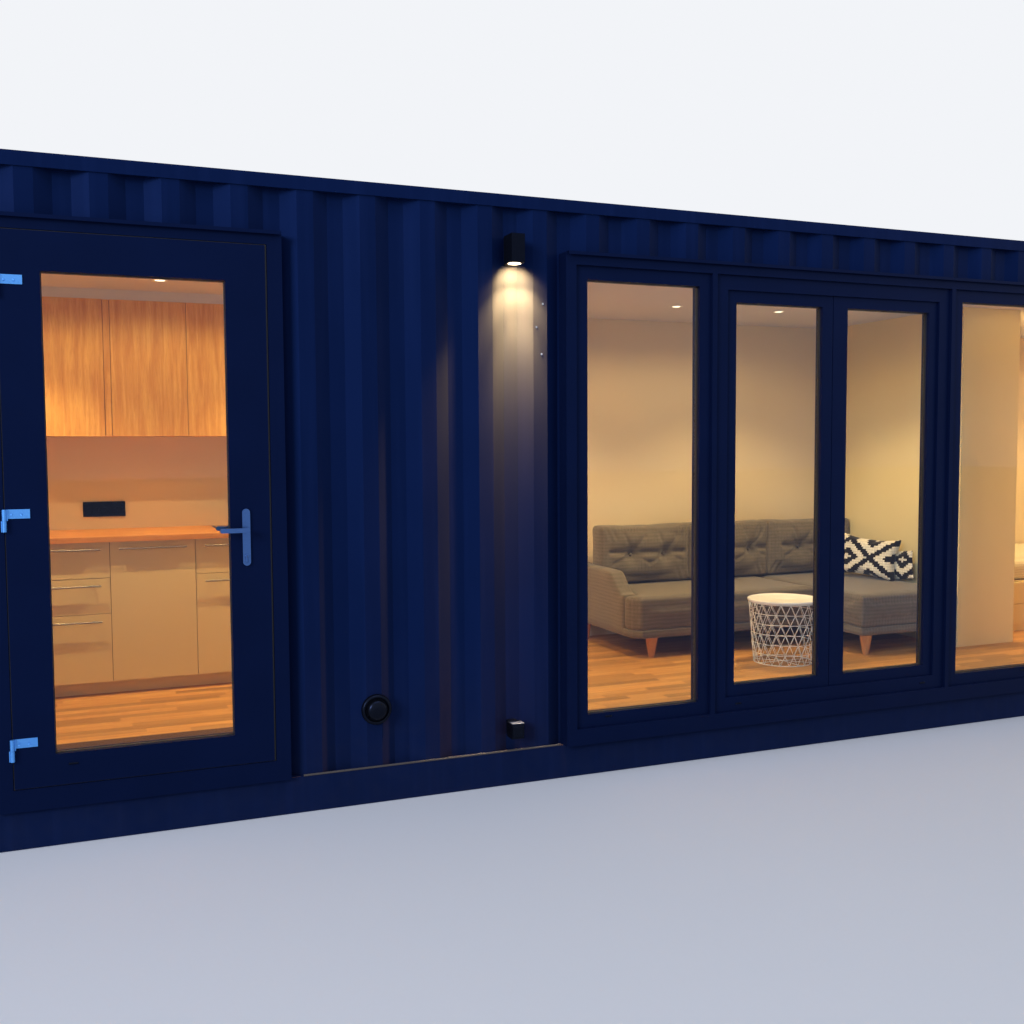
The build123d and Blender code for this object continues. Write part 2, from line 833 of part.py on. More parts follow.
with BuildPart() as wall_units:
    wall_unit_front = back_face - wall_unit_depth
    wall_unit_top = ceiling_level - wall_unit_top_gap
    wall_unit_bottom = wall_unit_top - wall_unit_height
    filler_end = second_unit + filler_strip
    wall_carcase_front = wall_unit_front + front_thickness
    block(kitchen_left, kitchen_right, wall_carcase_front, back_face, wall_unit_bottom, wall_unit_top)
    wall_doors = ((kitchen_left, second_unit), (filler_end, third_unit), (third_unit, kitchen_right))
    for low, high in wall_doors:
        block(
            low + front_gap / 2,
            high - front_gap / 2,
            wall_unit_front,
            wall_unit_front + front_thickness,
            wall_unit_bottom,
            wall_unit_top,
        )
    block(
        second_unit + front_gap / 2,
        filler_end - front_gap / 2,
        wall_unit_front + filler_setback,
        wall_unit_front + front_thickness,
        wall_unit_bottom,
        wall_unit_top,
    )
write(wall_units, "wall_units")

with BuildPart() as wall_socket:
    strip_left = kitchen_left + wall_socket_left
    strip_bottom = worktop_top + wall_socket_above_worktop
    block(
        strip_left,
        strip_left + wall_socket_width,
        back_face - wall_socket_depth,
        back_face,
        strip_bottom,
        strip_bottom + wall_socket_height,
    )
write(wall_socket, "wall_socket")

# Sofa with a chaise
sofa_left = sofa_from_end - half_length
sofa_right = sofa_left + sofa_width
sofa_back = back_face - sofa_wall_gap
sofa_front = sofa_back - sofa_depth
chaise_front = sofa_back - chaise_depth
chaise_left = sofa_right - chaise_width
seat_bottom = floor_level + seat_height - seat_cushion
seat_top = floor_level + seat_height
underside = floor_level + sofa_underside
seat_back = sofa_back - back_frame_depth
arm_front = sofa_front + arm_setback
arm_right = sofa_left + arm_width
cushion_front = seat_back - back_cushion_depth

with BuildPart() as sofa_frame:
    block(sofa_left, sofa_right, sofa_front, sofa_back, underside, seat_bottom - soft_gap)
    block(chaise_left, sofa_right, chaise_front, sofa_back, underside, seat_bottom - soft_gap)
    block(sofa_left, arm_right, arm_front, sofa_back, underside, floor_level + arm_height)
    block(sofa_left, sofa_right, seat_back, sofa_back, underside, floor_level + back_frame_height)
write(sofa_frame, "sofa_frame")

with BuildPart() as sofa_seats:
    block(
        arm_right + soft_gap,
        chaise_left - soft_gap,
        sofa_front,
        seat_back - soft_gap,
        seat_bottom,
        seat_top,
    )
    block(
        sofa_left,
        arm_right + soft_gap,
        sofa_front,
        arm_front - soft_gap,
        seat_bottom,
        seat_top,
    )
    block(chaise_left + soft_gap, sofa_right, chaise_front, seat_back - soft_gap, seat_bottom, seat_top)
write(sofa_seats, "sofa_seats")

with BuildPart() as sofa_backs:
    back_edges = (arm_right, arm_right + left_back_cushion, chaise_left, sofa_right)
    for low, high in zip(back_edges, back_edges[1:]):
        block(
            low + soft_gap,
            high - soft_gap,
            cushion_front,
            seat_back - soft_gap,
            seat_top + soft_gap,
            floor_level + back_cushion_top,
        )
write(sofa_backs, "sofa_backs")

with BuildPart() as sofa_legs:
    feet = [
        (sofa_left + front_leg_inset, sofa_front + leg_inset),
        (sofa_left + leg_inset, sofa_back - leg_inset),
        (chaise_left + chaise_leg_inset, chaise_front + leg_inset),
        (sofa_right - leg_inset, chaise_front + leg_inset),
        (sofa_right - leg_inset, sofa_back - leg_inset),
        ((sofa_left + sofa_right) / 2, sofa_back - leg_inset),
    ]
    with Locations(*[(x, y, (floor_level + underside) / 2) for x, y in feet]):
        Cone(leg_foot_radius, leg_top_radius, underside - floor_level)
write(sofa_legs, "sofa_legs")

with BuildPart() as scatter_pillows:
    pillow_right = sofa_right - pillow_thickness - soft_gap
    pillow_front = chaise_front + pillow_from_chaise_front
    low_pillow_front = chaise_front + low_pillow_from_chaise_front
    pillow_bottom = seat_top + soft_gap
    block(
        pillow_right - pillow_thickness,
        pillow_right,
        pillow_front,
        pillow_front + pillow_size,
        pillow_bottom,
        pillow_bottom + pillow_tilted_height,
    )
    block(
        sofa_right - pillow_thickness,
        sofa_right,
        low_pillow_front,
        low_pillow_front + low_pillow_length,
        pillow_bottom,
        pillow_bottom + low_pillow_height,
    )
write(scatter_pillows, "scatter_pillows")

# Side table
table_x = table_from_end - half_length
table_y = back_face - table_from_back
tray_bottom = floor_level + table_height - tray_thickness

with BuildPart() as table_basket:
    with BuildSketch(Plane.XZ):
        with BuildLine():
            Polyline(
                (0, floor_level),
                (table_base_radius, floor_level),
                (table_top_radius - basket_wall, tray_bottom),
                (table_top_radius - 2 * basket_wall, tray_bottom),
                (table_base_radius - basket_wall, floor_level + basket_wall),
                (0, floor_level + basket_wall),
                close=True,
            )
        make_face()
    revolve(axis=Axis.Z)
table_basket.part = table_basket.part.moved(Location((table_x, table_y, 0)))
write(table_basket, "table_basket")

with BuildPart() as table_top:
    with BuildSketch(Plane.XY.offset(tray_bottom)):
        with Locations((table_x, table_y)):
            Circle(table_top_radius)
    extrude(amount=tray_thickness)
write(table_top, "table_top")

# Boxed cupboard and day bed
cupboard_left = sofa_right + cupboard_gap
cupboard_right = cupboard_left + cupboard_width

with BuildPart() as cupboard:
    block(cupboard_left, cupboard_right, back_face - cupboard_depth, back_face, floor_level, ceiling_level)
write(cupboard, "cupboard")

bed_left = cupboard_right + bed_gap
bed_right = bed_left + bed_length
bed_front = back_face - bed_depth

with BuildPart() as day_bed:
    block(bed_left, bed_right, bed_front, back_face, floor_level, floor_level + bed_height)
write(day_bed, "day_bed")

with BuildPart() as bed_mattress:
    block(
        bed_left,
        bed_right,
        bed_front,
        back_face - soft_gap,
        floor_level + bed_height + soft_gap,
        floor_level + bed_height + mattress_thickness,
    )
write(bed_mattress, "bed_mattress")
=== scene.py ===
"""Looks of the shipping container cabin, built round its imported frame. Metres, +Z up, front towards -Y."""

import json
import math
import random

import bmesh
import bpy
from mathutils import Matrix, Vector

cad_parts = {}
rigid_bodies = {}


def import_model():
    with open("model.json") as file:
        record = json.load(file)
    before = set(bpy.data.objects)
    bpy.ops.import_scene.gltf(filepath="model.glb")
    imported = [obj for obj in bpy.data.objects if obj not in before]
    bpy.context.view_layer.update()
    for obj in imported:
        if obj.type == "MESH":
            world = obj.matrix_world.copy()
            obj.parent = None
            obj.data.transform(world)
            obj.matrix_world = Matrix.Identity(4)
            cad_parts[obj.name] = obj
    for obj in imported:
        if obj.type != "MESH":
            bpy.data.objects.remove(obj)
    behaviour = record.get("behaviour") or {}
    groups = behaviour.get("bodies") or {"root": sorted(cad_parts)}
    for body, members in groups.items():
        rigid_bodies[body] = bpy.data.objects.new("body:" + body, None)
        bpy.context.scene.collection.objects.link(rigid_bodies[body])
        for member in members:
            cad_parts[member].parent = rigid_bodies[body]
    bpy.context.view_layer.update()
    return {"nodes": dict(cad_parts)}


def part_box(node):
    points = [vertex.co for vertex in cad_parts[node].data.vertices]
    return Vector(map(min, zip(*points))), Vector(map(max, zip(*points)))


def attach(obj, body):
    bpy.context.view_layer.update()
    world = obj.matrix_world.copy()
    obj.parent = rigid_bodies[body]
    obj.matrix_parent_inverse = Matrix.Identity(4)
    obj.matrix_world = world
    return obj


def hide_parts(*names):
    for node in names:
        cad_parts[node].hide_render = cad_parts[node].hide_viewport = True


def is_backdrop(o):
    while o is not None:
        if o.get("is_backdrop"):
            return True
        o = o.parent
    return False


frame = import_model()
nodes = frame["nodes"]
scene = bpy.context.scene
chance = random.Random(41)

MM = 0.001

# Rivets on the folded sheet beside the lamp, as (x, z).
RIVETS = ((-1.851, 2.382), (-1.885, 2.268), (-1.858, 2.137))
# How far the panes reach into their frames, and the thickness of the kitchen fronts.
GLASS_BITE = 12 * MM
FRONT_THICKNESS = 19 * MM
# The wall lamp's depth from its front to the wall, and the radius of its opening.
LAMP_DEPTH = 104 * MM
LAMP_LENS_RADIUS = 28 * MM
# The door's running gaps at its hinge side, lock side, foot and head.
DOOR_GAPS = (5 * MM, 9 * MM, 5 * MM, 5 * MM)
# Drain caps, as (x, z) on the face of their frame.
DOOR_DRAIN = (-4.040, 0.3535)
WINDOW_DRAINS = ((-1.505, 0.298), (-0.720, 0.288), (0.550, 0.288), (1.335, 0.298))
# Left, right, front and back of the hob on the worktop and of the doormat on the floor.
HOB = (-3.237, -2.937, 0.395, 0.905)
MAT = (-4.233, -3.233, -1.100, -0.640)
# Sockets side by side in the strip over the worktop, and drawers along the day bed.
SOCKETS = 3
BED_DRAWERS = 3
# The row of recessed ceiling spots along X, the line they sit on and the line their light comes from.
SPOT_PITCH = 0.821
SPOT_FIRST = -5.198
SPOT_COUNT = 13
SPOT_LINE = 0.18
LAMP_LINE = -0.07
# The first spots light the kitchen. Each has a plain lamp, and every other one a stronger one besides, as
# (name, watts, cone in degrees, softness of the cone's edge).
KITCHEN_SPOTS = 4
CEILING_LAMPS = (("spot", 11, 165, 0.35), ("key", 88, 116, 0.6))
# Middle and length of each room's fill light, and the line they hang on.
FILLS = ((-3.7, 2.4), (0.0, 3.0), (3.2, 3.0))
FILL_LINE = -0.75
# Colour of the light in the rooms, and of the wall lamp's light, far warmer so that navy paint shows cream.
ROOM_LIGHT = "#ffd592"
LAMP_LIGHT = "#ff872e"
# Where the photograph was taken from, how far the camera is turned right, down and over, and its lens.
EYE = (-3.9263, -5.9957, 1.679)
TURN, DOWN, OVER = math.radians(21.729), math.radians(3.533), math.radians(-0.326)
LENS = 36.85
SENSOR = 36.0


# Shader helpers

def linear(code):
    """An sRGB hex colour as linear RGBA."""
    parts = [int(code[i:i + 2], 16) / 255 for i in (1, 3, 5)]
    return [c / 12.92 if c <= 0.04045 else ((c + 0.055) / 1.055) ** 2.4 for c in parts] + [1.0]


def add(tree, kind, inputs=None, **settings):
    """Adds one node with its settings, and the values or links of its sockets."""
    made = tree.nodes.new(kind)
    for name, value in settings.items():
        setattr(made, name, value)
    for socket, value in (inputs or {}).items():
        if isinstance(value, bpy.types.NodeSocket):
            tree.links.new(value, made.inputs[socket])
        else:
            made.inputs[socket].default_value = value
    return made


def pattern(size_mm):
    """The scale of a texture whose features are this many millimetres across."""
    return 1000.0 / size_mm


def blank(name, **sockets):
    """A new material with one Principled shader, and the place its patterns are laid out in. sockets gives the
    shader's plain values, with spaces written as underscores."""
    material = bpy.data.materials.new(name)
    material.use_nodes = True
    tree = material.node_tree
    tree.nodes.clear()
    shader = add(tree, "ShaderNodeBsdfPrincipled", {k.replace("_", " "): v for k, v in sockets.items()})
    add(tree, "ShaderNodeOutputMaterial", {"Surface": shader.outputs[0]})
    return material, tree, shader, add(tree, "ShaderNodeTexCoord").outputs["Object"]


def dress(tree, shader, **sockets):
    """Links patterns to the shader's sockets."""
    for name, source in sockets.items():
        tree.links.new(source, shader.inputs[name.replace("_", " ")])


def repaint(material):
    """The node tree, shader, place and present colour of a finished material, to paint over it."""
    tree = material.node_tree
    shader = next(n for n in tree.nodes if n.type == "BSDF_PRINCIPLED")
    place = next(n for n in tree.nodes if n.type == "TEX_COORD").outputs["Object"]
    return tree, shader, place, shader.inputs["Base Color"].links[0].from_socket


def coated(name, tones, patch_mm, gloss, grain_mm, depth_mm, **sockets):
    """A coated or moulded surface: two close tones in patches, uneven gloss and a grain depth_mm deep."""
    material, tree, shader, place = blank(name, **sockets)
    patches = add(tree, "ShaderNodeTexNoise", {"Vector": place, "Scale": pattern(patch_mm), "Detail": 5.0})
    colour = add(tree, "ShaderNodeMix", {0: patches.outputs[0], 6: linear(tones[0]), 7: linear(tones[1])},
                 data_type="RGBA")
    uneven = add(tree, "ShaderNodeTexNoise", {"Vector": place, "Scale": pattern(patch_mm / 4),
                                              "Detail": 3.0})
    rough = add(tree, "ShaderNodeMapRange", {0: uneven.outputs[0], 3: gloss[0], 4: gloss[1]})
    grain = add(tree, "ShaderNodeTexNoise", {"Vector": place, "Scale": pattern(grain_mm), "Detail": 2.0})
    bump = add(tree, "ShaderNodeBump", {"Height": grain.outputs[0], "Distance": depth_mm * MM, "Strength": 1.0})
    dress(tree, shader, Base_Color=colour.outputs[2], Roughness=rough.outputs[0], Normal=bump.outputs[0])
    return material


def timber(name, tones, along, ring_mm, pore_mm, gloss, toned=False, **sockets):
    """Sawn or sliced wood, its grain along the axis named; toned boards take a tone of their own each."""
    material, tree, shader, place = blank(name, **sockets)
    if toned:
        board = add(tree, "ShaderNodeAttribute", attribute_name="board").outputs["Fac"]
        shift = add(tree, "ShaderNodeMath", {0: board, 1: 37.0}, operation="MULTIPLY")
        place = add(tree, "ShaderNodeVectorMath", {0: place, 1: shift.outputs[0]}).outputs[0]
    squeeze = [1.0 if axis != along else 0.07 for axis in "XYZ"]
    grain = add(tree, "ShaderNodeMapping", {"Vector": place, "Scale": squeeze}).outputs[0]
    rings = add(tree, "ShaderNodeTexNoise", {"Vector": grain, "Scale": pattern(ring_mm), "Detail": 3.0,
                                             "Distortion": 0.6})
    pores = add(tree, "ShaderNodeTexNoise", {"Vector": grain, "Scale": pattern(pore_mm), "Detail": 4.0})
    sharp = add(tree, "ShaderNodeMapRange", {0: rings.outputs[0], 1: 0.32, 2: 0.68})
    body = add(tree, "ShaderNodeMix", {0: sharp.outputs[0], 6: linear(tones[0]), 7: linear(tones[1])},
               data_type="RGBA")
    fine = add(tree, "ShaderNodeMapRange", {0: pores.outputs[0], 1: 0.52, 2: 0.75, 3: 0.0, 4: 0.55})
    colour = add(tree, "ShaderNodeMix", {0: fine.outputs[0], 6: body.outputs[2], 7: linear(tones[2])},
                 data_type="RGBA").outputs[2]
    if toned:
        bright = add(tree, "ShaderNodeMapRange", {0: board, 3: 0.66, 4: 1.3})
        colour = add(tree, "ShaderNodeVectorMath", {0: colour, "Scale": bright.outputs[0]},
                     operation="SCALE").outputs[0]
    rough = add(tree, "ShaderNodeMapRange", {0: pores.outputs[0], 3: gloss[0], 4: gloss[1]})
    bump = add(tree, "ShaderNodeBump", {"Height": pores.outputs[0], "Distance": 0.2 * MM, "Strength": 0.8})
    dress(tree, shader, Base_Color=colour, Roughness=rough.outputs[0], Normal=bump.outputs[0])
    return material


def woven(name, tones, thread_mm, slub_mm, **sockets):
    """Upholstery cloth: crossing threads that stand proud, slubs in the yarn, and a soft sheen."""
    material, tree, shader, place = blank(name, Roughness=0.9, Sheen_Weight=0.25, Sheen_Roughness=0.5,
                                          Specular_IOR_Level=0.2, **sockets)
    wobble = add(tree, "ShaderNodeTexNoise", {"Vector": place, "Scale": pattern(slub_mm), "Detail": 4.0})
    heights = []
    for axis in "XYZ":
        heights.append(add(tree, "ShaderNodeTexWave", {"Vector": place, "Scale": pattern(thread_mm) / 20,
                                                       "Distortion": 1.5, "Detail": 1.0},
                           wave_type="BANDS", bands_direction=axis).outputs["Fac"])
    crossed = add(tree, "ShaderNodeMath", dict(enumerate(heights)), operation="MULTIPLY_ADD")
    mix = add(tree, "ShaderNodeMix", {0: wobble.outputs[0], 6: linear(tones[0]), 7: linear(tones[1])},
              data_type="RGBA")
    shade = add(tree, "ShaderNodeMapRange", {0: crossed.outputs[0], 1: 0.0, 2: 1.6, 3: 0.82, 4: 1.12})
    colour = add(tree, "ShaderNodeVectorMath", {0: mix.outputs[2], "Scale": shade.outputs[0]},
                 operation="SCALE")
    bump = add(tree, "ShaderNodeBump", {"Height": crossed.outputs[0], "Distance": 0.3 * MM, "Strength": 0.4})
    dress(tree, shader, Base_Color=colour.outputs[0], Normal=bump.outputs[0])
    return material


# Materials

def sprayed_steel():
    """Two-part enamel sprayed on the container's steel: deep navy and matt, with faint rain streaks,
    road dust towards the foot and a soft orange peel."""
    material = coated("sprayed_enamel_on_steel", ("#081431", "#0b193c"), 420, (0.42, 0.58), 2.2, 0.12,
                      Specular_IOR_Level=0.08, Specular_Tint=linear("#4f86ff"))
    tree, shader, place, painted = repaint(material)
    runs = add(tree, "ShaderNodeMapping", {"Vector": place, "Scale": [1.0, 1.0, 0.04]}).outputs[0]
    streaks = add(tree, "ShaderNodeTexNoise", {"Vector": runs, "Scale": pattern(45), "Detail": 4.0})
    faint = add(tree, "ShaderNodeMapRange", {0: streaks.outputs[0], 1: 0.5, 2: 0.85, 3: 0.0, 4: 0.35})
    height = add(tree, "ShaderNodeSeparateXYZ", {0: place}).outputs[2]
    low = add(tree, "ShaderNodeMapRange", {0: height, 1: 0.75, 2: 0.1, 3: 0.0, 4: 0.15})
    splash = add(tree, "ShaderNodeTexNoise", {"Vector": place, "Scale": pattern(60), "Detail": 6.0})
    dust = add(tree, "ShaderNodeMath", {0: low.outputs[0], 1: splash.outputs[0]}, operation="MULTIPLY")
    streaked = add(tree, "ShaderNodeMix", {0: faint.outputs[0], 6: painted, 7: linear("#14234a")},
                   data_type="RGBA")
    dusty = add(tree, "ShaderNodeMix", {0: dust.outputs[0], 6: streaked.outputs[2], 7: linear("#33343c")},
                data_type="RGBA")
    dress(tree, shader, Base_Color=dusty.outputs[2])
    return material


def float_glass():
    """Clear float glass: what is behind shows through, and its faces mirror the room and the sky a little."""
    material = bpy.data.materials.new("clear_float_glass")
    material.use_nodes = True
    tree = material.node_tree
    tree.nodes.clear()
    mirrored = add(tree, "ShaderNodeFresnel", {"IOR": 1.5})
    # Only the face that is met from the air mirrors; the second one lets everything through.
    inside = add(tree, "ShaderNodeNewGeometry").outputs["Backfacing"]
    outside = add(tree, "ShaderNodeMath", {0: 1.0, 1: inside}, operation="SUBTRACT")
    facing = add(tree, "ShaderNodeMath", {0: mirrored.outputs[0], 1: outside.outputs[0]},
                 operation="MULTIPLY")
    clear = add(tree, "ShaderNodeBsdfTransparent", {"Color": linear("#f4f8f6")})
    smears = add(tree, "ShaderNodeTexNoise", {"Vector": add(tree, "ShaderNodeTexCoord").outputs["Object"],
                                              "Scale": pattern(180), "Detail": 3.0})
    wiped = add(tree, "ShaderNodeMapRange", {0: smears.outputs[0], 3: 0.0, 4: 0.03})
    mirror = add(tree, "ShaderNodeBsdfGlossy", {"Color": linear("#a9bdf2"), "Roughness": wiped.outputs[0]})
    both = add(tree, "ShaderNodeMixShader", {0: facing.outputs[0], 1: clear.outputs[0],
                                             2: mirror.outputs[0]})
    add(tree, "ShaderNodeOutputMaterial", {"Surface": both.outputs[0]})
    return material


def glowing(name, colour, strength):
    """A lit diffuser: frosted plastic that gives off its own warm light, uneven by a touch."""
    material, tree, shader, place = blank(name, Roughness=0.5, Emission_Strength=strength)
    frost = add(tree, "ShaderNodeTexNoise", {"Vector": place, "Scale": pattern(6), "Detail": 2.0})
    tone = add(tree, "ShaderNodeMix", {0: frost.outputs[0], 6: linear(colour), 7: linear("#fff6e2")},
               data_type="RGBA")
    dress(tree, shader, Base_Color=tone.outputs[2], Emission_Color=tone.outputs[2])
    return material


def brushed_steel(name, tones):
    """Satin stainless steel, brushed along X: fine scratches that stretch the highlights."""
    material, tree, shader, place = blank(name, Metallic=1.0)
    stretched = add(tree, "ShaderNodeMapping", {"Vector": place, "Scale": [0.06, 1.0, 1.0]}).outputs[0]
    scratches = add(tree, "ShaderNodeTexNoise", {"Vector": stretched, "Scale": pattern(1.5), "Detail": 3.0})
    tone = add(tree, "ShaderNodeMix", {0: scratches.outputs[0], 6: linear(tones[0]), 7: linear(tones[1])},
               data_type="RGBA")
    rough = add(tree, "ShaderNodeMapRange", {0: scratches.outputs[0], 3: 0.26, 4: 0.42})
    bump = add(tree, "ShaderNodeBump", {"Height": scratches.outputs[0], "Distance": 0.04 * MM})
    dress(tree, shader, Base_Color=tone.outputs[2], Roughness=rough.outputs[0], Normal=bump.outputs[0])
    return material


def diamond_cloth():
    """Cotton printed with rows of black rings of diamonds on off-white, a common woven-looking pattern."""
    material = woven("printed_cotton", ("#f6f1e6", "#ebe4d5"), 3, 30)
    tree, shader, place, cloth = repaint(material)
    # The motif is stepped, as if stitched on a 14 mm grid.
    stepped = add(tree, "ShaderNodeVectorMath", {0: place, 1: [14 * MM] * 3}, operation="SNAP").outputs[0]
    axes = add(tree, "ShaderNodeSeparateXYZ", {0: stepped})
    folded = []
    for axis, motif_mm in ((1, 190), (2, 140)):
        run = add(tree, "ShaderNodeMath", {0: axes.outputs[axis], 1: pattern(motif_mm)}, operation="MULTIPLY")
        wrap = add(tree, "ShaderNodeMath", {0: run.outputs[0], 1: 1.0}, operation="PINGPONG")
        folded.append(wrap.outputs[0])
    reach = add(tree, "ShaderNodeMath", {0: folded[0], 1: folded[1]})
    rings = add(tree, "ShaderNodeMath", {0: reach.outputs[0], 1: 3.0}, operation="MULTIPLY")
    wave = add(tree, "ShaderNodeMath", {0: rings.outputs[0], 1: 1.0}, operation="PINGPONG")
    inked = add(tree, "ShaderNodeMath", {0: wave.outputs[0], 1: 0.52}, operation="GREATER_THAN")
    printed = add(tree, "ShaderNodeMix", {0: inked.outputs[0], 6: cloth, 7: linear("#15161b")},
                  data_type="RGBA")
    dress(tree, shader, Base_Color=printed.outputs[2])
    return material


enamel = sprayed_steel()
glass = float_glass()
# Satin stainless steel: its blue on the door's handles and the hob's trim is a painted reflection of the sky,
# plain on kitchen bars.
steel = brushed_steel("satin_steel_painted_sky_blue", ("#34568f", "#5273ad"))
warm_steel = brushed_steel("satin_steel_bars", ("#8d8983", "#b3aea6"))
# Emulsion on board: matt warm white, the roller's stipple just showing.
emulsion = coated("emulsion_on_board", ("#ecdcc4", "#e4d2b8"), 900, (0.75, 0.9), 3.5, 0.15,
                  Specular_IOR_Level=0.3)
# Flat white ceiling paint, cooler than the walls.
ceiling_paint = coated("ceiling_emulsion", ("#e0deea", "#d8d6e2"), 900, (0.8, 0.92), 4, 0.15,
                       Specular_IOR_Level=0.25)
# Plywood of the subfloor: dull brown edges, seen only in the thickness of the thresholds.
plywood = timber("birch_plywood", ("#a98258", "#8f6a43", "#6e4f30"), "X", 60, 5, (0.6, 0.8))
# Foil laminated on the window profiles: dark navy with a fine leathery emboss.
foil = coated("foil_on_pvc", ("#091330", "#070f27"), 260, (0.32, 0.46), 1.2, 0.06,
              Specular_IOR_Level=0.12, Specular_Tint=linear("#5f8cf5"))
# Stoved polyester on the folded flashings: as dark as the frames, smoother and a touch glossier.
stoved = coated("stoved_polyester", ("#091330", "#070f27"), 200, (0.3, 0.42), 1.6, 0.05,
                Specular_IOR_Level=0.12, Specular_Tint=linear("#5f8cf5"))
# Powder coat on the lamp: near black with a fine sand texture.
powder = coated("black_powder_coat", ("#07080d", "#05060a"), 80, (0.5, 0.65), 0.9, 0.08,
                Specular_IOR_Level=0.12, Specular_Tint=linear("#8fb0ff"))
# Moulded ABS of the outside fittings and sockets: black, smooth, slightly shiny.
black_abs = coated("moulded_black_abs", ("#08090d", "#06070a"), 60, (0.22, 0.36), 0.8, 0.03,
                   Specular_IOR_Level=0.2, Specular_Tint=linear("#9db6f5"))
# Satin lacquer on the kitchen fronts: cream, very smooth.
lacquer = coated("cream_lacquer", ("#ddc9a0", "#d6c296"), 500, (0.28, 0.38), 2.5, 0.02,
                 Specular_IOR_Level=0.4)
# Carcass front edges, dark brown and dull: painted shade, seen only as dark lines between the fronts.
joint_painted_shade = coated("carcass_edge_painted_shade", ("#3a2c20", "#30241a"), 300, (0.5, 0.6), 1.5, 0.02)
# White matt lacquer of the tray top.
white_lacquer = coated("white_tray_lacquer", ("#fbfaf8", "#f3f1ec"), 200, (0.35, 0.5), 1.5, 0.02)
# Powder-coated white steel wire.
white_wire = coated("white_powder_coat", ("#f1efe8", "#e6e3da"), 40, (0.3, 0.45), 1.0, 0.03)
# Lacquered furniture board of the cupboard and day bed: pale beige, silky.
pale_lacquer = coated("pale_furniture_lacquer", ("#ecdcae", "#e4d3a3"), 400, (0.4, 0.55), 2.5, 0.03)
# Oiled oak butcher block: orange-brown staves, low gloss.
oiled_oak = timber("oiled_oak_worktop", ("#d99a55", "#c5813c", "#9a5d27"), "X", 38, 3.0, (0.35, 0.5))
# Sliced oak veneer hung upright on the wall units.
veneer = timber("oak_veneer", ("#f0ba68", "#d6984a", "#a96c31"), "Z", 24, 2.4, (0.4, 0.55))
# Lacquered beech legs.
beech = timber("lacquered_beech", ("#d69a63", "#c4824b", "#a8683a"), "Z", 30, 2.4, (0.35, 0.5))
# Three-strip oak flooring, matt lacquered, each strip with its own tone.
strip_oak = timber("strip_oak_floor", ("#cd9a58", "#bb8445", "#915e2e"), "X", 30, 2.5, (0.35, 0.5),
                   toned=True)
# Flat-woven polyester upholstery: mid grey with a warm cast, threads drawn twice as coarse so they show.
upholstery = woven("flat_weave_upholstery", ("#7b7268", "#6c645b"), 4, 40)
# Thin matt cotton of the bed cover and pillow.
bed_cotton = woven("plain_cotton", ("#e9e2d2", "#dcd3c0"), 3, 50)
printed_cotton = diamond_cloth()
# Zinc-plated rivet heads: bright, a little dull.
zinc = coated("zinc_plate", ("#d5dae2", "#b9c0cb"), 12, (0.25, 0.4), 0.6, 0.01)
# Sealant along the wall's foot, grey with dust.
dusty_sealant = coated("dusty_sealant", ("#4d4540", "#39332f"), 60, (0.7, 0.85), 6, 0.6)
# Grey flap on the outside socket: its light grey is a painted highlight of the wall lamp's light on the
# socket's top.
flap_painted_highlight_grey = coated("grey_abs_painted_highlight", ("#85858a", "#77777c"), 30, (0.3, 0.45), 0.8, 0.02)
# Aluminium covers of the hinges: satin and pale, their cool blue a painted reflection of the sky.
sky_blue_aluminium = coated("aluminium_painted_sky_blue", ("#5ba4ee", "#4f95e0"), 60, (0.25, 0.38), 0.9, 0.02,
                  Metallic=0.6)
# Extruded rubber of gaskets, seals and the mat's backing: black and dull.
rubber = coated("extruded_rubber", ("#0c0c10", "#121216"), 30, (0.6, 0.8), 0.8, 0.03)
# Warm-edge spacer inside the panes: smooth dark plastic.
spacer_grey = coated("warm_edge_spacer", ("#2c2a28", "#232220"), 20, (0.4, 0.5), 0.8, 0.02)
# Ceramic glass of the hob: black, mirror smooth.
black_glass = coated("black_ceramic_glass", ("#0b0b0d", "#0e0e11"), 200, (0.05, 0.1), 30, 0.01)
# Grey screen-printed rings on the hob.
mark_grey = coated("screen_printed_grey", ("#77777c", "#6a6a70"), 20, (0.5, 0.6), 1, 0.01)
# Coir pile of the doormat: coarse brown tufts.
coir = coated("coir_pile", ("#6b4a2c", "#4c331e"), 9, (0.9, 1.0), 3.5, 2.5)
lamp_glow = glowing("lamp_diffuser", "#ffd9a0", 6.0)
spot_glow = glowing("spot_diffuser", "#ffe3b8", 4.0)

NODE_FINISHES = (
    (enamel, "base_rails cross_members corner_fittings corner_posts top_rails front_sheet_left "
             "front_sheet_middle front_sheet_right front_sheet_headers back_sheet end_sheets roof_sheet"),
    (emulsion, "front_lining back_lining end_linings"),
    (ceiling_paint, "ceiling"),
    (plywood, "floor_core"),
    (foil, "door_frame door_leaf window_surround window_frames window_sashes"),
    (glass, "door_glass window_glass"),
    (steel, "handle_plates lever_set"),
    (sky_blue_aluminium, "hinge_pins hinge_arms"),
    (warm_steel, "unit_handles"),
    (stoved, "drip_flashings"),
    (powder, "wall_lamp"),
    (black_abs, "vent_cap socket_box wall_socket"),
    (lacquer, "base_units unit_fronts"),
    (oiled_oak, "worktop"),
    (veneer, "wall_units"),
    (beech, "sofa_legs"),
    (white_lacquer, "table_top"),
    (white_wire, "table_basket"),
    (pale_lacquer, "cupboard day_bed"),
    (strip_oak, "oak_floor"),
    (upholstery, "sofa_frame sofa_seats sofa_backs"),
    (printed_cotton, "scatter_pillows"),
    (bed_cotton, "bed_mattress"),
)
for finish, names in NODE_FINISHES:
    for name in names.split():
        nodes[name].data.materials.clear()
        nodes[name].data.materials.append(finish)
# The carcass edges behind the joints of the kitchen fronts are painted dark: painted shade in the joints.
for name, edge_plane in (("base_units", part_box("unit_fronts")[1].y),
                         ("wall_units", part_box("wall_units")[0].y + FRONT_THICKNESS)):
    unit = nodes[name]
    unit.data.materials.append(joint_painted_shade)
    for face in unit.data.polygons:
        if face.normal.y < -0.9 and abs((unit.matrix_world @ face.center).y - edge_plane) < 3 * MM:
            face.material_index = 1


# Mesh helpers

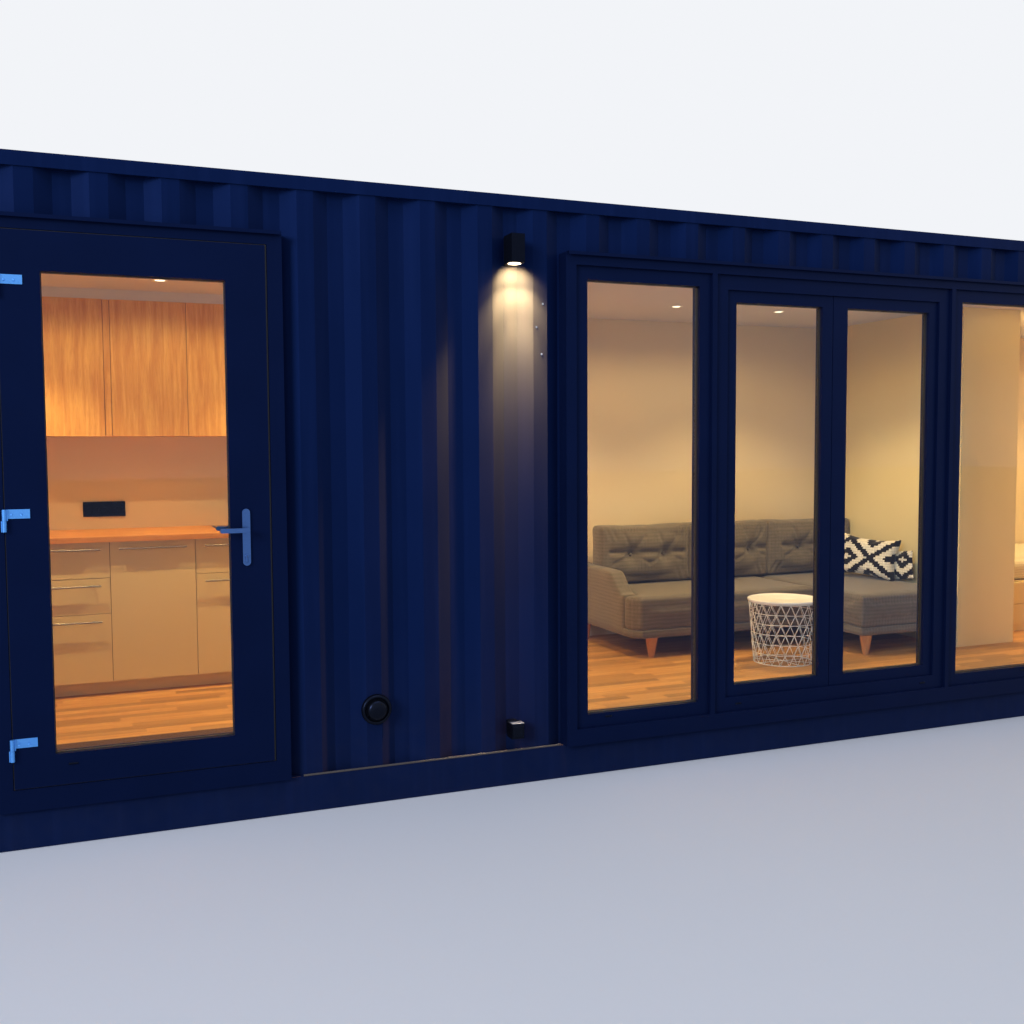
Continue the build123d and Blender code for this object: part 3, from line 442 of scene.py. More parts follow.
def settle(bm, name, material, body="container", smooth=False):
    """Turns a bmesh into a piece of the object that rides on a body."""
    bmesh.ops.recalc_face_normals(bm, faces=bm.faces)
    mesh = bpy.data.meshes.new(name)
    bm.to_mesh(mesh)
    bm.free()
    mesh.materials.append(material)
    if smooth:
        mesh.shade_smooth()
    piece = bpy.data.objects.new(name, mesh)
    scene.collection.objects.link(piece)
    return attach(piece, body)


def block(bm, low, high, edge=0.0, steps=2):
    """A rectangular block between two corners, its edges rounded."""
    low, high = Vector(low), Vector(high)
    size = Matrix.Diagonal((*(high - low), 1))
    made = bmesh.ops.create_cube(bm, size=1.0, matrix=Matrix.Translation((low + high) / 2) @ size)
    if edge:
        edges = {e for v in made["verts"] for e in v.link_edges}
        bmesh.ops.bevel(bm, geom=list(edges), offset=edge, segments=steps, profile=0.5, affect="EDGES")


def lathe(bm, place, axis, outline, sides=32):
    """Turns an outline of (radius, height) pairs about an axis through place."""
    turn = Vector((0, 0, 1)).rotation_difference(Vector(axis)).to_matrix()
    angles = [2 * math.pi * i / sides for i in range(sides)]
    rows = []
    for radius, height in outline:
        around = angles if radius else angles[:1]
        spots = [Vector((radius * math.cos(a), radius * math.sin(a), height)) for a in around]
        rows.append([bm.verts.new(Vector(place) + turn @ spot) for spot in spots])
    for lower, upper in zip(rows, rows[1:]):
        for i in range(sides):
            j = (i + 1) % sides
            corners = dict.fromkeys((lower[i % len(lower)], lower[j % len(lower)],
                                     upper[j % len(upper)], upper[i % len(upper)]))
            if len(corners) > 2:
                bm.faces.new(corners)


def wire(bm, points, radius, sides=6, closed=False):
    """A round wire along a line of points."""
    points = [Vector(p) for p in points]
    rows = []
    side = (points[1] - points[0]).orthogonal()
    for i, point in enumerate(points):
        before = points[i - 1] if i or closed else point
        after = points[(i + 1) % len(points)] if i + 1 < len(points) or closed else point
        ahead = (after - before).normalized()
        side = (side - ahead * side.dot(ahead)).normalized()
        other = ahead.cross(side)
        turns = [2 * math.pi * k / sides for k in range(sides)]
        rows.append([bm.verts.new(point + radius * (math.cos(a) * side + math.sin(a) * other))
                     for a in turns])
    for lower, upper in zip(rows, rows[1:] + (rows[:1] if closed else [])):
        for k in range(sides):
            bm.faces.new((lower[k], lower[(k + 1) % sides], upper[(k + 1) % sides], upper[k]))
    if not closed:
        bm.faces.new(rows[0])
        bm.faces.new(rows[-1])


def rim(bm, low, high, profile):
    """A mitred bar round an upright rectangle; profile lists (inset from the rectangle, y)."""
    rows = []
    for inset, y in profile:
        left, right, foot, head = low.x + inset, high.x - inset, low.z + inset, high.z - inset
        corners = ((left, foot), (right, foot), (right, head), (left, head))
        rows.append([bm.verts.new((x, y, z)) for x, z in corners])
    for one, two in zip(rows, rows[1:] + rows[:1]):
        for k in range(4):
            bm.faces.new((one[k], one[(k + 1) % 4], two[(k + 1) % 4], two[k]))


def prism(bm, outline, spread):
    """A closed outline of points, pushed along a vector."""
    foot = [bm.verts.new(p) for p in outline]
    head = [bm.verts.new(Vector(p) + Vector(spread)) for p in outline]
    bm.faces.new(foot)
    bm.faces.new(head)
    for i in range(len(foot)):
        j = (i + 1) % len(foot)
        bm.faces.new((foot[i], foot[j], head[j], head[i]))


def solids_of(node):
    """The lowest and highest corner of each loose solid of a CAD node, from left to right."""
    bm = bmesh.new()
    bm.from_mesh(nodes[node].data)
    bmesh.ops.remove_doubles(bm, verts=bm.verts, dist=0.01 * MM)
    left, boxes = set(bm.verts), []
    while left:
        reached, edge = set(), [left.pop()]
        while edge:
            v = edge.pop()
            reached.add(v)
            for e in v.link_edges:
                other = e.other_vert(v)
                if other in left:
                    left.remove(other)
                    edge.append(other)
        boxes.append([Vector([pick(v.co[k] for v in reached) for k in range(3)]) for pick in (min, max)])
    bm.free()
    return sorted(boxes, key=lambda b: b[0].x)


# Stuffed pieces

# How fine each cover is cut up before it is blown up.
SOFA_VOXEL = 13 * MM
BASE_VOXEL = 15 * MM
ARM_VOXEL = 14 * MM
BACK_VOXEL = 20 * MM
BED_VOXEL = 24 * MM
SIM_FRAMES = 20
# Shares of each back cushion's width at which its buttons sit, the folds that run out of a button (right
# and up, in metres), and how far from a corner its top and bottom edges pucker.
BUTTON_SHARES = ((0.33, 0.70), (0.3, 0.76), (0.38, 0.74))
BUTTON_FOLDS = ((-0.05, 0.14), (0.1, 0.13), (-0.14, -0.06), (0.13, -0.05))
CORNER_PUCKERS = (0.03, 0.075)
# Cuts across a pillow's panel, and the share by which its sides are drawn in.
PILLOW_STEPS = 22
PILLOW_DRAW = 0.07


def stuff(bm, name, material, voxel, rounding, pressure, cap, dents=(), slack=-0.02):
    """A stuffed cover: even faces, softened edges, then cloth blown up by its filling and held at its buttons.
    Each dent is (centre, direction, depth, reach, hold): where a button or a crease pulls the cover in."""
    piece = settle(bm, name, material)
    for kind, values in (("REMESH", {"mode": "VOXEL", "voxel_size": voxel}),
                         ("SMOOTH", {"factor": 0.5, "iterations": rounding})):
        change = piece.modifiers.new(kind.lower(), kind)
        for key, value in values.items():
            setattr(change, key, value)
    take_shape(piece)
    held = set()
    for centre, direction, depth, reach, hold in dents:
        for v in piece.data.vertices:
            away = distance_to(v.co, centre)
            pull = depth * math.exp(-(away / reach) ** 2)
            if pull > 0.2 * MM:
                v.co += Vector(direction) * pull
            if away < hold:
                held.add(v.index)
    blow_up(piece, pressure, cap, slack, held)
    round_off(piece)
    return piece


def round_off(piece):
    """Divides a finished cover once more and shades it smooth."""
    smoother = piece.modifiers.new("smoother", "SUBSURF")
    smoother.levels = smoother.render_levels = 1
    take_shape(piece)
    piece.data.shade_smooth()


def distance_to(point, centre):
    """How far a point is from a button's place, or from the line between two."""
    if isinstance(centre, Vector):
        return (point - centre).length
    start, end = centre
    run = end - start
    share = min(1.0, max(0.0, (point - start).dot(run) / run.length_squared))
    return (point - start - run * share).length


def take_shape(piece):
    """Applies the piece's modifiers."""
    graph = bpy.context.evaluated_depsgraph_get()
    mesh = bpy.data.meshes.new_from_object(piece.evaluated_get(graph))
    piece.modifiers.clear()
    piece.data = mesh


def blow_up(piece, pressure, cap, slack, held):
    """Cloth with pressure inside and no gravity; no point moves further than cap from where it started."""
    rest = [v.co.copy() for v in piece.data.vertices]
    cloth = piece.modifiers.new("stuffing", "CLOTH")
    cloth.settings.use_pressure = True
    cloth.settings.uniform_pressure_force = pressure
    cloth.settings.shrink_min = slack
    cloth.settings.bending_stiffness = 0.3
    cloth.settings.effector_weights.gravity = 0
    cloth.point_cache.frame_start, cloth.point_cache.frame_end = 1, SIM_FRAMES
    if held:
        piece.vertex_groups.new(name="buttons").add(sorted(held), 1.0, "ADD")
        cloth.settings.vertex_group_mass = "buttons"
    for number in range(1, SIM_FRAMES + 1):
        scene.frame_set(number)
    take_shape(piece)
    for v, start in zip(piece.data.vertices, rest):
        moved = v.co - start
        if moved.length > cap:
            v.co = start + moved * (cap / moved.length)
    scene.frame_set(1)


def cushion_block(low, high, edge):
    """A bmesh of one rounded block, a little inside the space that the finished cushion may fill."""
    bm = bmesh.new()
    block(bm, low, high, edge, 3)
    return bm


def soften_top(bm, level, edge):
    """Rounds the edges of a block's upper face."""
    rim_edges = [e for e in bm.edges if all(abs(v.co.z - level) < 1 * MM for v in e.verts)]
    bmesh.ops.bevel(bm, geom=rim_edges, offset=edge, segments=3, profile=0.5, affect="EDGES")


def sofa():
    """Corner sofa: a seat and a chaise over an upholstered base, a swept arm, and three buttoned backs."""
    seats = solids_of("sofa_seats")
    chaise = max(seats, key=lambda s: s[1].y - s[0].y)
    seat = max((s for s in seats if s is not chaise), key=lambda s: s[1].x - s[0].x)
    frame_low, frame_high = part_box("sofa_frame")
    backs = solids_of("sofa_backs")
    seat_low, seat_top = seat[0].z, seat[1].z
    arm_right = backs[0][0].x
    # In front of the arm the seat reaches out to the sofa's left side.
    arm_front = max(v.co.y for v in nodes["sofa_seats"].data.vertices if v.co.x < seat[0].x + 1 * MM)
    swell = 7 * MM

    pieces = []
    # The base and the seats above it are one outline each, with the seam between them.
    seam = seat_low - 23 * MM
    for name, foot, head, voxel, cap in (
            ("sofa_base_cover", frame_low.z, seam - 0.5 * MM, BASE_VOXEL, 3 * MM),
            ("sofa_seat_cover", seam + 0.5 * MM, seat_top - swell, SOFA_VOXEL, 5 * MM)):
        bm = bmesh.new()
        left, right, front, back = seat[0].x + 2 * MM, chaise[0].x + 4 * MM, seat[0].y + 5 * MM, seat[1].y
        # The seat's outer front corner is cut back towards the arm.
        toe = [(left, arm_front), (left + 8 * MM, arm_front - 60 * MM), (left + 60 * MM, front)]
        if name == "sofa_seat_cover":
            outline = toe + [(right, front), (right, back), (arm_right + 2 * MM, back),
                             (arm_right + 2 * MM, arm_front)]
        else:
            inner, outer, step = chaise[0].x, chaise[1].x - 2 * MM, chaise[0].y + 4 * MM
            outline = toe + [(inner, front), (inner, step), (outer, step), (outer, back), (left, back)]
        prism(bm, [(x, y, foot) for x, y in outline], (0, 0, head - foot))
        if name == "sofa_seat_cover":
            soften_top(bm, head, 24 * MM)
        piece = stuff(bm, name, upholstery, voxel, 1, 1.5, cap, slack=-0.005)
        pieces.append((piece, 0.8))
    bm = bmesh.new()
    block(bm, (chaise[0].x - 4 * MM, chaise[0].y + 5 * MM, seam + 0.5 * MM),
          (chaise[1].x - 3 * MM, chaise[1].y, seat_top - swell))
    soften_top(bm, seat_top - swell, 20 * MM)
    pieces.append((stuff(bm, "chaise_cover", upholstery, SOFA_VOXEL, 1, 1.5, 5 * MM, slack=-0.005), 0.8))

    # The arm's top runs level from the back, then sweeps down to the seat.
    arm_top = 840 * MM
    sweep = [(arm_front, frame_low.z), (arm_front, seat_top - 5 * MM)]
    for i in range(1, 10):
        share = i / 10
        eased = 0.5 - 0.5 * math.cos(math.pi * share ** 1.15)
        sweep.append((arm_front + 240 * MM * share, seat_top + (arm_top - seat_top) * eased))
    sweep += [(frame_high.y - 4 * MM, arm_top), (frame_high.y - 4 * MM, frame_low.z)]
    bm = bmesh.new()
    prism(bm, [(frame_low.x + 4 * MM, y, z) for y, z in sweep], (arm_right - frame_low.x - 10 * MM, 0, 0))
    pieces.append((stuff(bm, "sofa_arm_cover", upholstery, ARM_VOXEL, 8, 2.0, 6 * MM), 0.7))

    bm = cushion_block((arm_right, backs[0][1].y + 3 * MM, seat_low),
                       (frame_high.x - 3 * MM, frame_high.y - 3 * MM, frame_high.z - 5 * MM), 25 * MM)
    pieces.append((stuff(bm, "sofa_back_cover", upholstery, BACK_VOXEL, 6, 1.5, 5 * MM, slack=-0.005), 0.7))

    bm_buttons = bmesh.new()
    for number, (low, high) in enumerate(backs, 1):
        # The first cushion leans over the arm, and the middle one is the widest.
        left = (frame_low.x + 82 * MM, low.x - 4 * MM, low.x + 34 * MM)[number - 1]
        right = (high.x + 4 * MM, high.x + 42 * MM, high.x - 3 * MM)[number - 1]
        front = low.y + 22 * MM
        bottom, top = low.z + 4 * MM, high.z - 6 * MM
        row = bottom + 0.5 * (top - bottom)
        face = Vector((0, 1, 0))
        spots = [Vector((left + s * (right - left), front, row)) for s in BUTTON_SHARES[number - 1]]
        dents = [(spot, face, 52 * MM, 58 * MM, 16 * MM) for spot in spots]
        crease = (spots[0] - Vector((0.16, 0, -0.02)), spots[1] + Vector((0.15, 0, 0.01)))
        dents.append((crease, face, 24 * MM, 20 * MM, 0.0))
        for spot in spots:
            for reach_x, reach_z in BUTTON_FOLDS:
                fold = (spot, spot + Vector((reach_x, 0, reach_z)))
                dents.append((fold, face, 12 * MM, 11 * MM, 0.0))
        for corner_x, lean in ((left, 1), (right, -1)):
            for corner_z, fall in ((top, -1), (bottom, 1)):
                corner = Vector((corner_x, front, corner_z))
                for inset in CORNER_PUCKERS:
                    start = corner + Vector((lean * inset, 0, 0))
                    pucker = (start, start + Vector((lean * 0.05, 0, fall * 0.1)))
                    dents.append((pucker, face, 9 * MM, 10 * MM, 0.0))
        bm = cushion_block((left, front, bottom), (right, high.y - 6 * MM, top), 26 * MM)
        piece = stuff(bm, f"back_cushion_{number}", upholstery, SOFA_VOXEL, 6, 4.5, 24 * MM, dents,
                      slack=-0.04)
        pieces.append((piece, 0.6))
        for spot in spots:
            lathe(bm_buttons, spot + Vector((0, 46 * MM, 0)), (0, -1, 0),
                  [(0, -6 * MM), (12 * MM, -4 * MM), (12.5 * MM, 0), (10 * MM, 4 * MM), (5 * MM, 6 * MM),
                   (0, 6.5 * MM)], 20)
    buttons = settle(bm_buttons, "back_cushion_buttons", upholstery, smooth=True)
    for piece, fill in pieces:
        name = piece.name
        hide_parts("sofa_backs" if name.startswith("back_") else
                    "sofa_seats" if name in ("sofa_seat_cover", "chaise_cover") else "sofa_frame")


def pillow(name, centre, width, height, thickness, lean, turn, swing, material):
    """A knife-edged cushion: two panels sewn at the edge, sides drawn in between the corners."""
    bm = bmesh.new()
    steps = PILLOW_STEPS
    for side in (1, -1):
        grid = []
        for i in range(steps + 1):
            row = []
            for j in range(steps + 1):
                u, v = 2 * i / steps - 1, 2 * j / steps - 1
                y = u * width / 2 * (1 - PILLOW_DRAW * (1 - v * v))
                z = v * height / 2 * (1 - PILLOW_DRAW * (1 - u * u))
                loft = math.sqrt(max(0.0, (1 - u ** 4) * (1 - v ** 4)))
                row.append(bm.verts.new((side * thickness / 2 * loft * 0.8, y, z)))
            grid.append(row)
        for i in range(steps):
            for j in range(steps):
                bm.faces.new((grid[i][j], grid[i + 1][j], grid[i + 1][j + 1], grid[i][j + 1]))
    bmesh.ops.remove_doubles(bm, verts=bm.verts, dist=0.5 * MM)
    piece = settle(bm, name, material, smooth=True)
    blow_up(piece, 3.0, 16 * MM, -0.03, set())
    round_off(piece)
    turned = Matrix.Rotation(turn, 4, "X") @ Matrix.Rotation(lean, 4, "Y")
    piece.data.transform(Matrix.Translation(centre) @ Matrix.Rotation(swing, 4, "Z") @ turned)
    return piece


def scatter_pillows():
    """Two printed cushions leaning on the boxed cupboard at the chaise's right edge."""
    tall, low = solids_of("scatter_pillows")
    if tall[1].z < low[1].z:
        tall, low = low, tall
    for name, (corner, other), *angles in (("scatter_pillow_tall", tall, 12, 3, 16),
                                           ("scatter_pillow_low", low, 4, -9, 0)):
        size = other - corner
        piece = pillow(name, (corner + other) / 2, size.y * 1.02, size.z * 1.06, size.x * 1.05,
                       *map(math.radians, angles), printed_cotton)
        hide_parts("scatter_pillows")


BASKET_ROWS = 6
BASKET_CELLS = 22


def basket_table():
    """White wire basket of triangles with a loose tray for its lid."""
    low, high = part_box("table_basket")
    tray_low, tray_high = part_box("table_top")
    centre = (tray_low + tray_high) / 2
    top_radius = (high.x - low.x) / 2 - 4 * MM
    foot_radius = top_radius - 33 * MM
    thin, thick = 2.1 * MM, 3.2 * MM
    foot, head = low.z + thick, high.z - thick
    bm = bmesh.new()

    def at(row, cell):
        share = row / BASKET_ROWS
        radius = foot_radius + (top_radius - foot_radius) * share
        angle = 2 * math.pi * cell / BASKET_CELLS
        return (centre.x + radius * math.cos(angle), centre.y + radius * math.sin(angle),
                foot + (head - foot) * share)

    for row in range(BASKET_ROWS + 1):
        ring = [at(row, cell / 2) for cell in range(2 * BASKET_CELLS)]
        wire(bm, ring, thick if row in (0, BASKET_ROWS) else thin, closed=True)
    for row in range(BASKET_ROWS):
        shift = row % 2 / 2
        for cell in range(BASKET_CELLS):
            for lean in (-0.5, 0.5):
                wire(bm, [at(row, cell + shift), at(row + 1, cell + shift + lean)], thin)
    for spoke in range(4):
        angle = math.pi * spoke / 4
        run = Vector((math.cos(angle), math.sin(angle), 0)) * foot_radius
        middle = Vector((centre.x, centre.y, foot))
        wire(bm, [middle - run, middle + run], thin)
    basket = settle(bm, "wire_basket", white_wire, smooth=True)
    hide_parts("table_basket")

    bm = bmesh.new()
    outer, thickness = (tray_high.x - tray_low.x) / 2, tray_high.z - tray_low.z
    outline = [(0, 0), (outer - 8 * MM, 0), (outer - 3 * MM, 2 * MM), (outer, 5 * MM),
               (outer, thickness - 1 * MM), (outer - 1.5 * MM, thickness), (outer - 4 * MM, thickness - 1 * MM),
               (outer - 6 * MM, thickness - 5 * MM), (outer - 14 * MM, thickness - 7 * MM),
               (28 * MM, thickness - 7 * MM), (24 * MM, thickness - 9 * MM), (0, thickness - 9.5 * MM)]
    lathe(bm, (centre.x, centre.y, tray_low.z), (0, 0, 1), outline, 96)
    tray = settle(bm, "tray_top", white_lacquer, smooth=True)
    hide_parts("table_top")


# Floor, kitchen and fittings

STRIP_WIDTH = 65 * MM
STRIP_LENGTH = (380 * MM, 620 * MM)
SHORTEST_STRIP = 80 * MM
# Half the joint between two strips, and the wider one between two boards of three strips.
STRIP_JOINT = 0.15 * MM
BOARD_JOINT = 0.5 * MM


def strip_floor():
    """Three-strip oak flooring along the cabin, each strip cut short at a different place."""
    floor_low, floor_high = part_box("oak_floor")
    lining_back = max(v.co.y for v in nodes["front_lining"].data.vertices)
    boxes = [(Vector((floor_low.x, lining_back, floor_low.z)), floor_high)]
    # The boards run on into the thresholds of the door and of the windows.
    for node in ("door_frame", "window_surround"):
        low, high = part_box(node)
        boxes.append((Vector((low.x, floor_low.y, floor_low.z)),
                      Vector((high.x, lining_back, floor_high.z))))
    bm = bmesh.new()
    tone = bm.verts.layers.float.new("board")
    for low, high in boxes:
        rows = max(1, round((high.y - low.y) / STRIP_WIDTH))
        step = (high.y - low.y) / rows
        for row in range(rows):
            x = low.x
            first = True
            while x < high.x - 1 * MM:
                length = chance.uniform(*STRIP_LENGTH)
                if first:
                    length *= chance.uniform(0.3, 1.0)
                end = min(high.x, x + length)
                if high.x - end < SHORTEST_STRIP:
                    end = high.x
                front_joint = BOARD_JOINT if row % 3 == 0 else STRIP_JOINT
                before = set(bm.verts)
                block(bm, (x + STRIP_JOINT, low.y + row * step + front_joint, low.z),
                      (end - STRIP_JOINT, low.y + (row + 1) * step - STRIP_JOINT, high.z))
                shade = chance.random()
                for v in set(bm.verts) - before:
                    v[tone] = shade
                x = end
                first = False
    floor = settle(bm, "oak_strips", strip_oak)
    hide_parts("oak_floor")


def glazing():
    """Black gaskets on both sides of every sealed pane, and the grey spacer bars inside it."""
    for node, body, group in (("door_glass", "door", "door"), ("window_glass", "container", "window")):
        gaskets, spacers = bmesh.new(), bmesh.new()
        for low, high in solids_of(node):
            face, back = low.y, high.y
            bite = Vector((GLASS_BITE, 0, GLASS_BITE))
            clear_low, clear_high = low + bite, high - bite
            for near, far in ((face - 3.5 * MM, face - 0.1 * MM), (back + 3.5 * MM, back + 0.1 * MM)):
                rim(gaskets, clear_low, clear_high,
                    [(-0.5 * MM, near), (2 * MM, near), (3.5 * MM, far), (-0.5 * MM, far)])
            rim(spacers, clear_low, clear_high,
                [(-6 * MM, face + 5 * MM), (3 * MM, face + 5 * MM), (3 * MM, back - 5 * MM),
                 (-6 * MM, back - 5 * MM)])
        for bm, kind, material in ((gaskets, "gaskets", rubber), (spacers, "spacer_bars", spacer_grey)):
            settle(bm, f"{group}_{kind}", material, body)


def door_seals():
    """Rubber seals in the door's running gap: one lip on the leaf and, behind it, one on the frame."""
    low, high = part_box("door_leaf")
    gap_left, gap_right, gap_foot, gap_head = DOOR_GAPS
    lip, seal = bmesh.new(), bmesh.new()
    four_strips(lip, Vector((low.x - 3.5 * MM, 0, low.z - 3.5 * MM)),
                Vector((high.x + 7 * MM, 0, high.z + 3.5 * MM)), low, high, low.y + 8 * MM, low.y + 14 * MM)
    outer_low = Vector((low.x - gap_left, 0, low.z - gap_foot))
    outer_high = Vector((high.x + gap_right, 0, high.z + gap_head))
    four_strips(seal, outer_low, outer_high, outer_low + Vector((3.5 * MM, 0, 3.5 * MM)),
                outer_high - Vector((5.4 * MM, 0, 3.5 * MM)), low.y + 26 * MM, low.y + 34 * MM)
    settle(lip, "leaf_seal", rubber, "door")
    settle(seal, "frame_seal", rubber)


def four_strips(bm, outer_low, outer_high, inner_low, inner_high, front, back):
    """Four straight strips between two upright rectangles: both sides, the foot and the head."""
    block(bm, (outer_low.x, front, outer_low.z), (inner_low.x, back, outer_high.z))
    block(bm, (inner_high.x, front, outer_low.z), (outer_high.x, back, outer_high.z))
    block(bm, (inner_low.x, front, outer_low.z), (inner_high.x, back, inner_low.z))
    block(bm, (inner_low.x, front, inner_high.z), (inner_high.x, back, outer_high.z))


def fixings():
    """Screws of the hinges, the lock's cylinder with its key slot, and the drain caps of the frames."""
    screws = bmesh.new()
    for low, high in solids_of("hinge_arms"):
        for share in (0.35, 0.7):
            spot = (low.x + share * (high.x - low.x), low.y, (low.z + high.z) / 2)
            screw_head(screws, spot, 4.5 * MM)
    settle(screws, "hinge_screws", sky_blue_aluminium, "door", smooth=True)
    low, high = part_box("handle_plates")
    cylinder = bmesh.new()
    middle = (low.x + high.x) / 2
    lathe(cylinder, (middle, low.y, low.z + 42 * MM), (0, -1, 0),
          [(0, 0), (8.5 * MM, 0), (8.5 * MM, 6 * MM), (7.5 * MM, 7 * MM), (0, 7 * MM)], 28)
    block(cylinder, (middle - 5 * MM, low.y - 5 * MM, low.z + 14 * MM),
          (middle + 5 * MM, low.y, low.z + 40 * MM), 3 * MM, 3)
    settle(cylinder, "lock_cylinder", steel, "door")
    slit = bmesh.new()
    block(slit, (middle - 0.8 * MM, low.y - 7.4 * MM, low.z + 37 * MM),
          (middle + 0.8 * MM, low.y - 6.9 * MM, low.z + 47 * MM))
    settle(slit, "key_slot", rubber, "door")

    for body, node, places in (("door", "door_leaf", (DOOR_DRAIN,)),
                               ("container", "window_frames", WINDOW_DRAINS)):
        caps = bmesh.new()
        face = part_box(node)[0].y
        for x, z in places:
            block(caps, (x - 19 * MM, face - 3.5 * MM, z - 4 * MM), (x + 19 * MM, face, z + 4 * MM),
                  2.5 * MM, 3)
        settle(caps, f"{body}_drain_caps", black_abs, body)


def screw_head(bm, spot, radius):
    """A countersunk cross-head screw, its face just proud of the plate."""
    lathe(bm, spot, (0, -1, 0), [(0, 0.0), (radius, 0.0), (radius * 0.9, 0.8 * MM), (radius * 0.35, 1.2 * MM),
                                 (radius * 0.3, 0.5 * MM), (0, 0.4 * MM)], 18)


def wall_fittings():
    """The lamp's lens, the vent's hood, the socket box's hinged lid and flap, the sealant and the rivets."""
    low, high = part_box("wall_lamp")
    middle_x, middle_y = (low.x + high.x) / 2, low.y + LAMP_DEPTH / 2
    lens = bmesh.new()
    # The lens is a shallow dome whose rim overlaps the body's opening.
    reach = LAMP_LENS_RADIUS + 4 * MM
    lathe(lens, (middle_x, middle_y, low.z), (0, 0, 1),
          [(0, -5 * MM), (reach * 0.6, -4 * MM), (reach * 0.9, -2 * MM), (reach, -0.2 * MM),
           (reach * 0.85, 3 * MM), (0, 3 * MM)], 40)
    settle(lens, "lamp_lens", lamp_glow, smooth=True)

    low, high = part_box("vent_cap")
    centre = Vector(((low.x + high.x) / 2, 0, (low.z + high.z) / 2))
    radius, depth = (high.x - low.x) / 2, high.y - low.y
    vent = bmesh.new()
    # Shares of the radius and of the depth: a rounded flange, a groove, and the dome that hoods the outlet.
    outline = [(1.0, 0), (1.01, 0.08), (1.0, 0.3), (0.95, 0.46), (0.86, 0.52), (0.78, 0.46), (0.74, 0.3),
               (0.7, 0.3), (0.68, 0.5), (0.65, 0.68), (0.58, 0.83), (0.44, 0.94), (0.24, 0.99), (0, 1.0)]
    lathe(vent, (centre.x, high.y, centre.z), (0, -1, 0), [(r * radius, h * depth) for r, h in outline], 64)
    hood = settle(vent, "vent_hood", black_abs, smooth=True)
    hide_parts("vent_cap")

    low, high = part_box("socket_box")
    lid = bmesh.new()
    block(lid, (low.x + 3 * MM, low.y - 4 * MM, low.z + 8 * MM),
          (high.x - 3 * MM, low.y, high.z - 12 * MM), 3 * MM, 3)
    block(lid, (low.x - 1 * MM, low.y - 5 * MM, high.z - 9 * MM),
          (high.x + 1 * MM, low.y + 40 * MM, high.z + 1 * MM), 3 * MM, 3)
    wire(lid, [(x, low.y - 2 * MM, high.z - 11 * MM) for x in (low.x + 8 * MM, high.x - 8 * MM)], 3 * MM, 10)
    settle(lid, "socket_lid", black_abs)
    # The flap's light grey is a painted highlight of the wall lamp's light on the box's top.
    flap = bmesh.new()
    block(flap, (low.x + 1 * MM, low.y - 4 * MM, high.z + 1 * MM),
          (high.x - 1 * MM, low.y + 38 * MM, high.z + 3 * MM), 1 * MM)
    settle(flap, "socket_flap", flap_painted_highlight_grey)

    # Sealant on the rail's ledge along the folded sheet, and three rivets beside the lamp.
    sheet_low, sheet_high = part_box("front_sheet_middle")
    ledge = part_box("base_rails")[1].z
    strip = bmesh.new()
    block(strip, (sheet_low.x + 60 * MM, sheet_low.y - 9 * MM, ledge),
          (sheet_high.x - 20 * MM, sheet_low.y, ledge + 9 * MM), 3 * MM)
    settle(strip, "foot_sealant", dusty_sealant)
    rivets = bmesh.new()
    for x, z in RIVETS:
        lathe(rivets, (x, sheet_low.y, z), (0, -1, 0),
              [(0, -1 * MM), (5 * MM, -1 * MM), (5 * MM, 0.5 * MM), (3.5 * MM, 2 * MM), (0, 2.8 * MM)], 20)
    settle(rivets, "sheet_rivets", zinc, smooth=True)


def kitchen_details():
    """Two-ring glass hob in its steel trim, the board over the wall units, the socket strip's inserts and the
    doormat inside the threshold."""
    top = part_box("worktop")[1].z
    left, right, front, back = HOB
    trim = bmesh.new()
    block(trim, (left, front, top), (right, back, top + 3 * MM), 1 * MM)
    settle(trim, "hob_trim", steel)
    plate = bmesh.new()
    block(plate, (left + 9 * MM, front + 9 * MM, top + 2 * MM),
          (right - 9 * MM, back - 9 * MM, top + 6 * MM), 1.2 * MM)
    settle(plate, "hob_glass", black_glass)
    rings = bmesh.new()
    for y, radius in ((front + 0.32 * (back - front), 88 * MM), (front + 0.72 * (back - front), 70 * MM)):
        for r in (radius, radius - 22 * MM):
            lathe(rings, ((left + right) / 2, y, top + 5.9 * MM), (0, 0, 1),
                  [(r, 0), (r, 0.35 * MM), (r - 1.5 * MM, 0.35 * MM), (r - 1.5 * MM, 0)], 48)
    settle(rings, "hob_rings", mark_grey)

    # A painted board closes the gap between the wall units and the ceiling.
    units_low, units_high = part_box("wall_units")
    board = bmesh.new()
    block(board, (units_low.x, units_low.y + 4 * MM, units_high.z),
          (units_high.x, units_low.y + 20 * MM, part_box("ceiling")[0].z))
    settle(board, "ceiling_board_over_units", ceiling_paint)

    low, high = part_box("wall_socket")
    inserts = bmesh.new()
    step, z = (high.x - low.x) / SOCKETS, (low.z + high.z) / 2
    for i in range(SOCKETS):
        x = low.x + (i + 0.5) * step
        block(inserts, (x - 36 * MM, low.y - 2 * MM, z - 36 * MM), (x + 36 * MM, low.y, z + 36 * MM),
              1.5 * MM)
        lathe(inserts, (x, low.y - 2 * MM, z), (0, -1, 0),
              [(21 * MM, 0), (21 * MM, 1 * MM), (18.5 * MM, 1.2 * MM), (18 * MM, 0.2 * MM), (0, 0.2 * MM)], 32)
    settle(inserts, "socket_inserts", black_abs)

    left, right, front, back = MAT
    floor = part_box("oak_floor")[1].z
    edge = bmesh.new()
    block(edge, (left, front, floor), (right, back, floor + 6 * MM), 2 * MM)
    settle(edge, "mat_backing", rubber)
    field = bmesh.new()
    block(field, (left + 18 * MM, front + 18 * MM, floor + 4 * MM),
          (right - 18 * MM, back - 18 * MM, floor + 12 * MM), 2.5 * MM)
    settle(field, "mat_pile", coir)


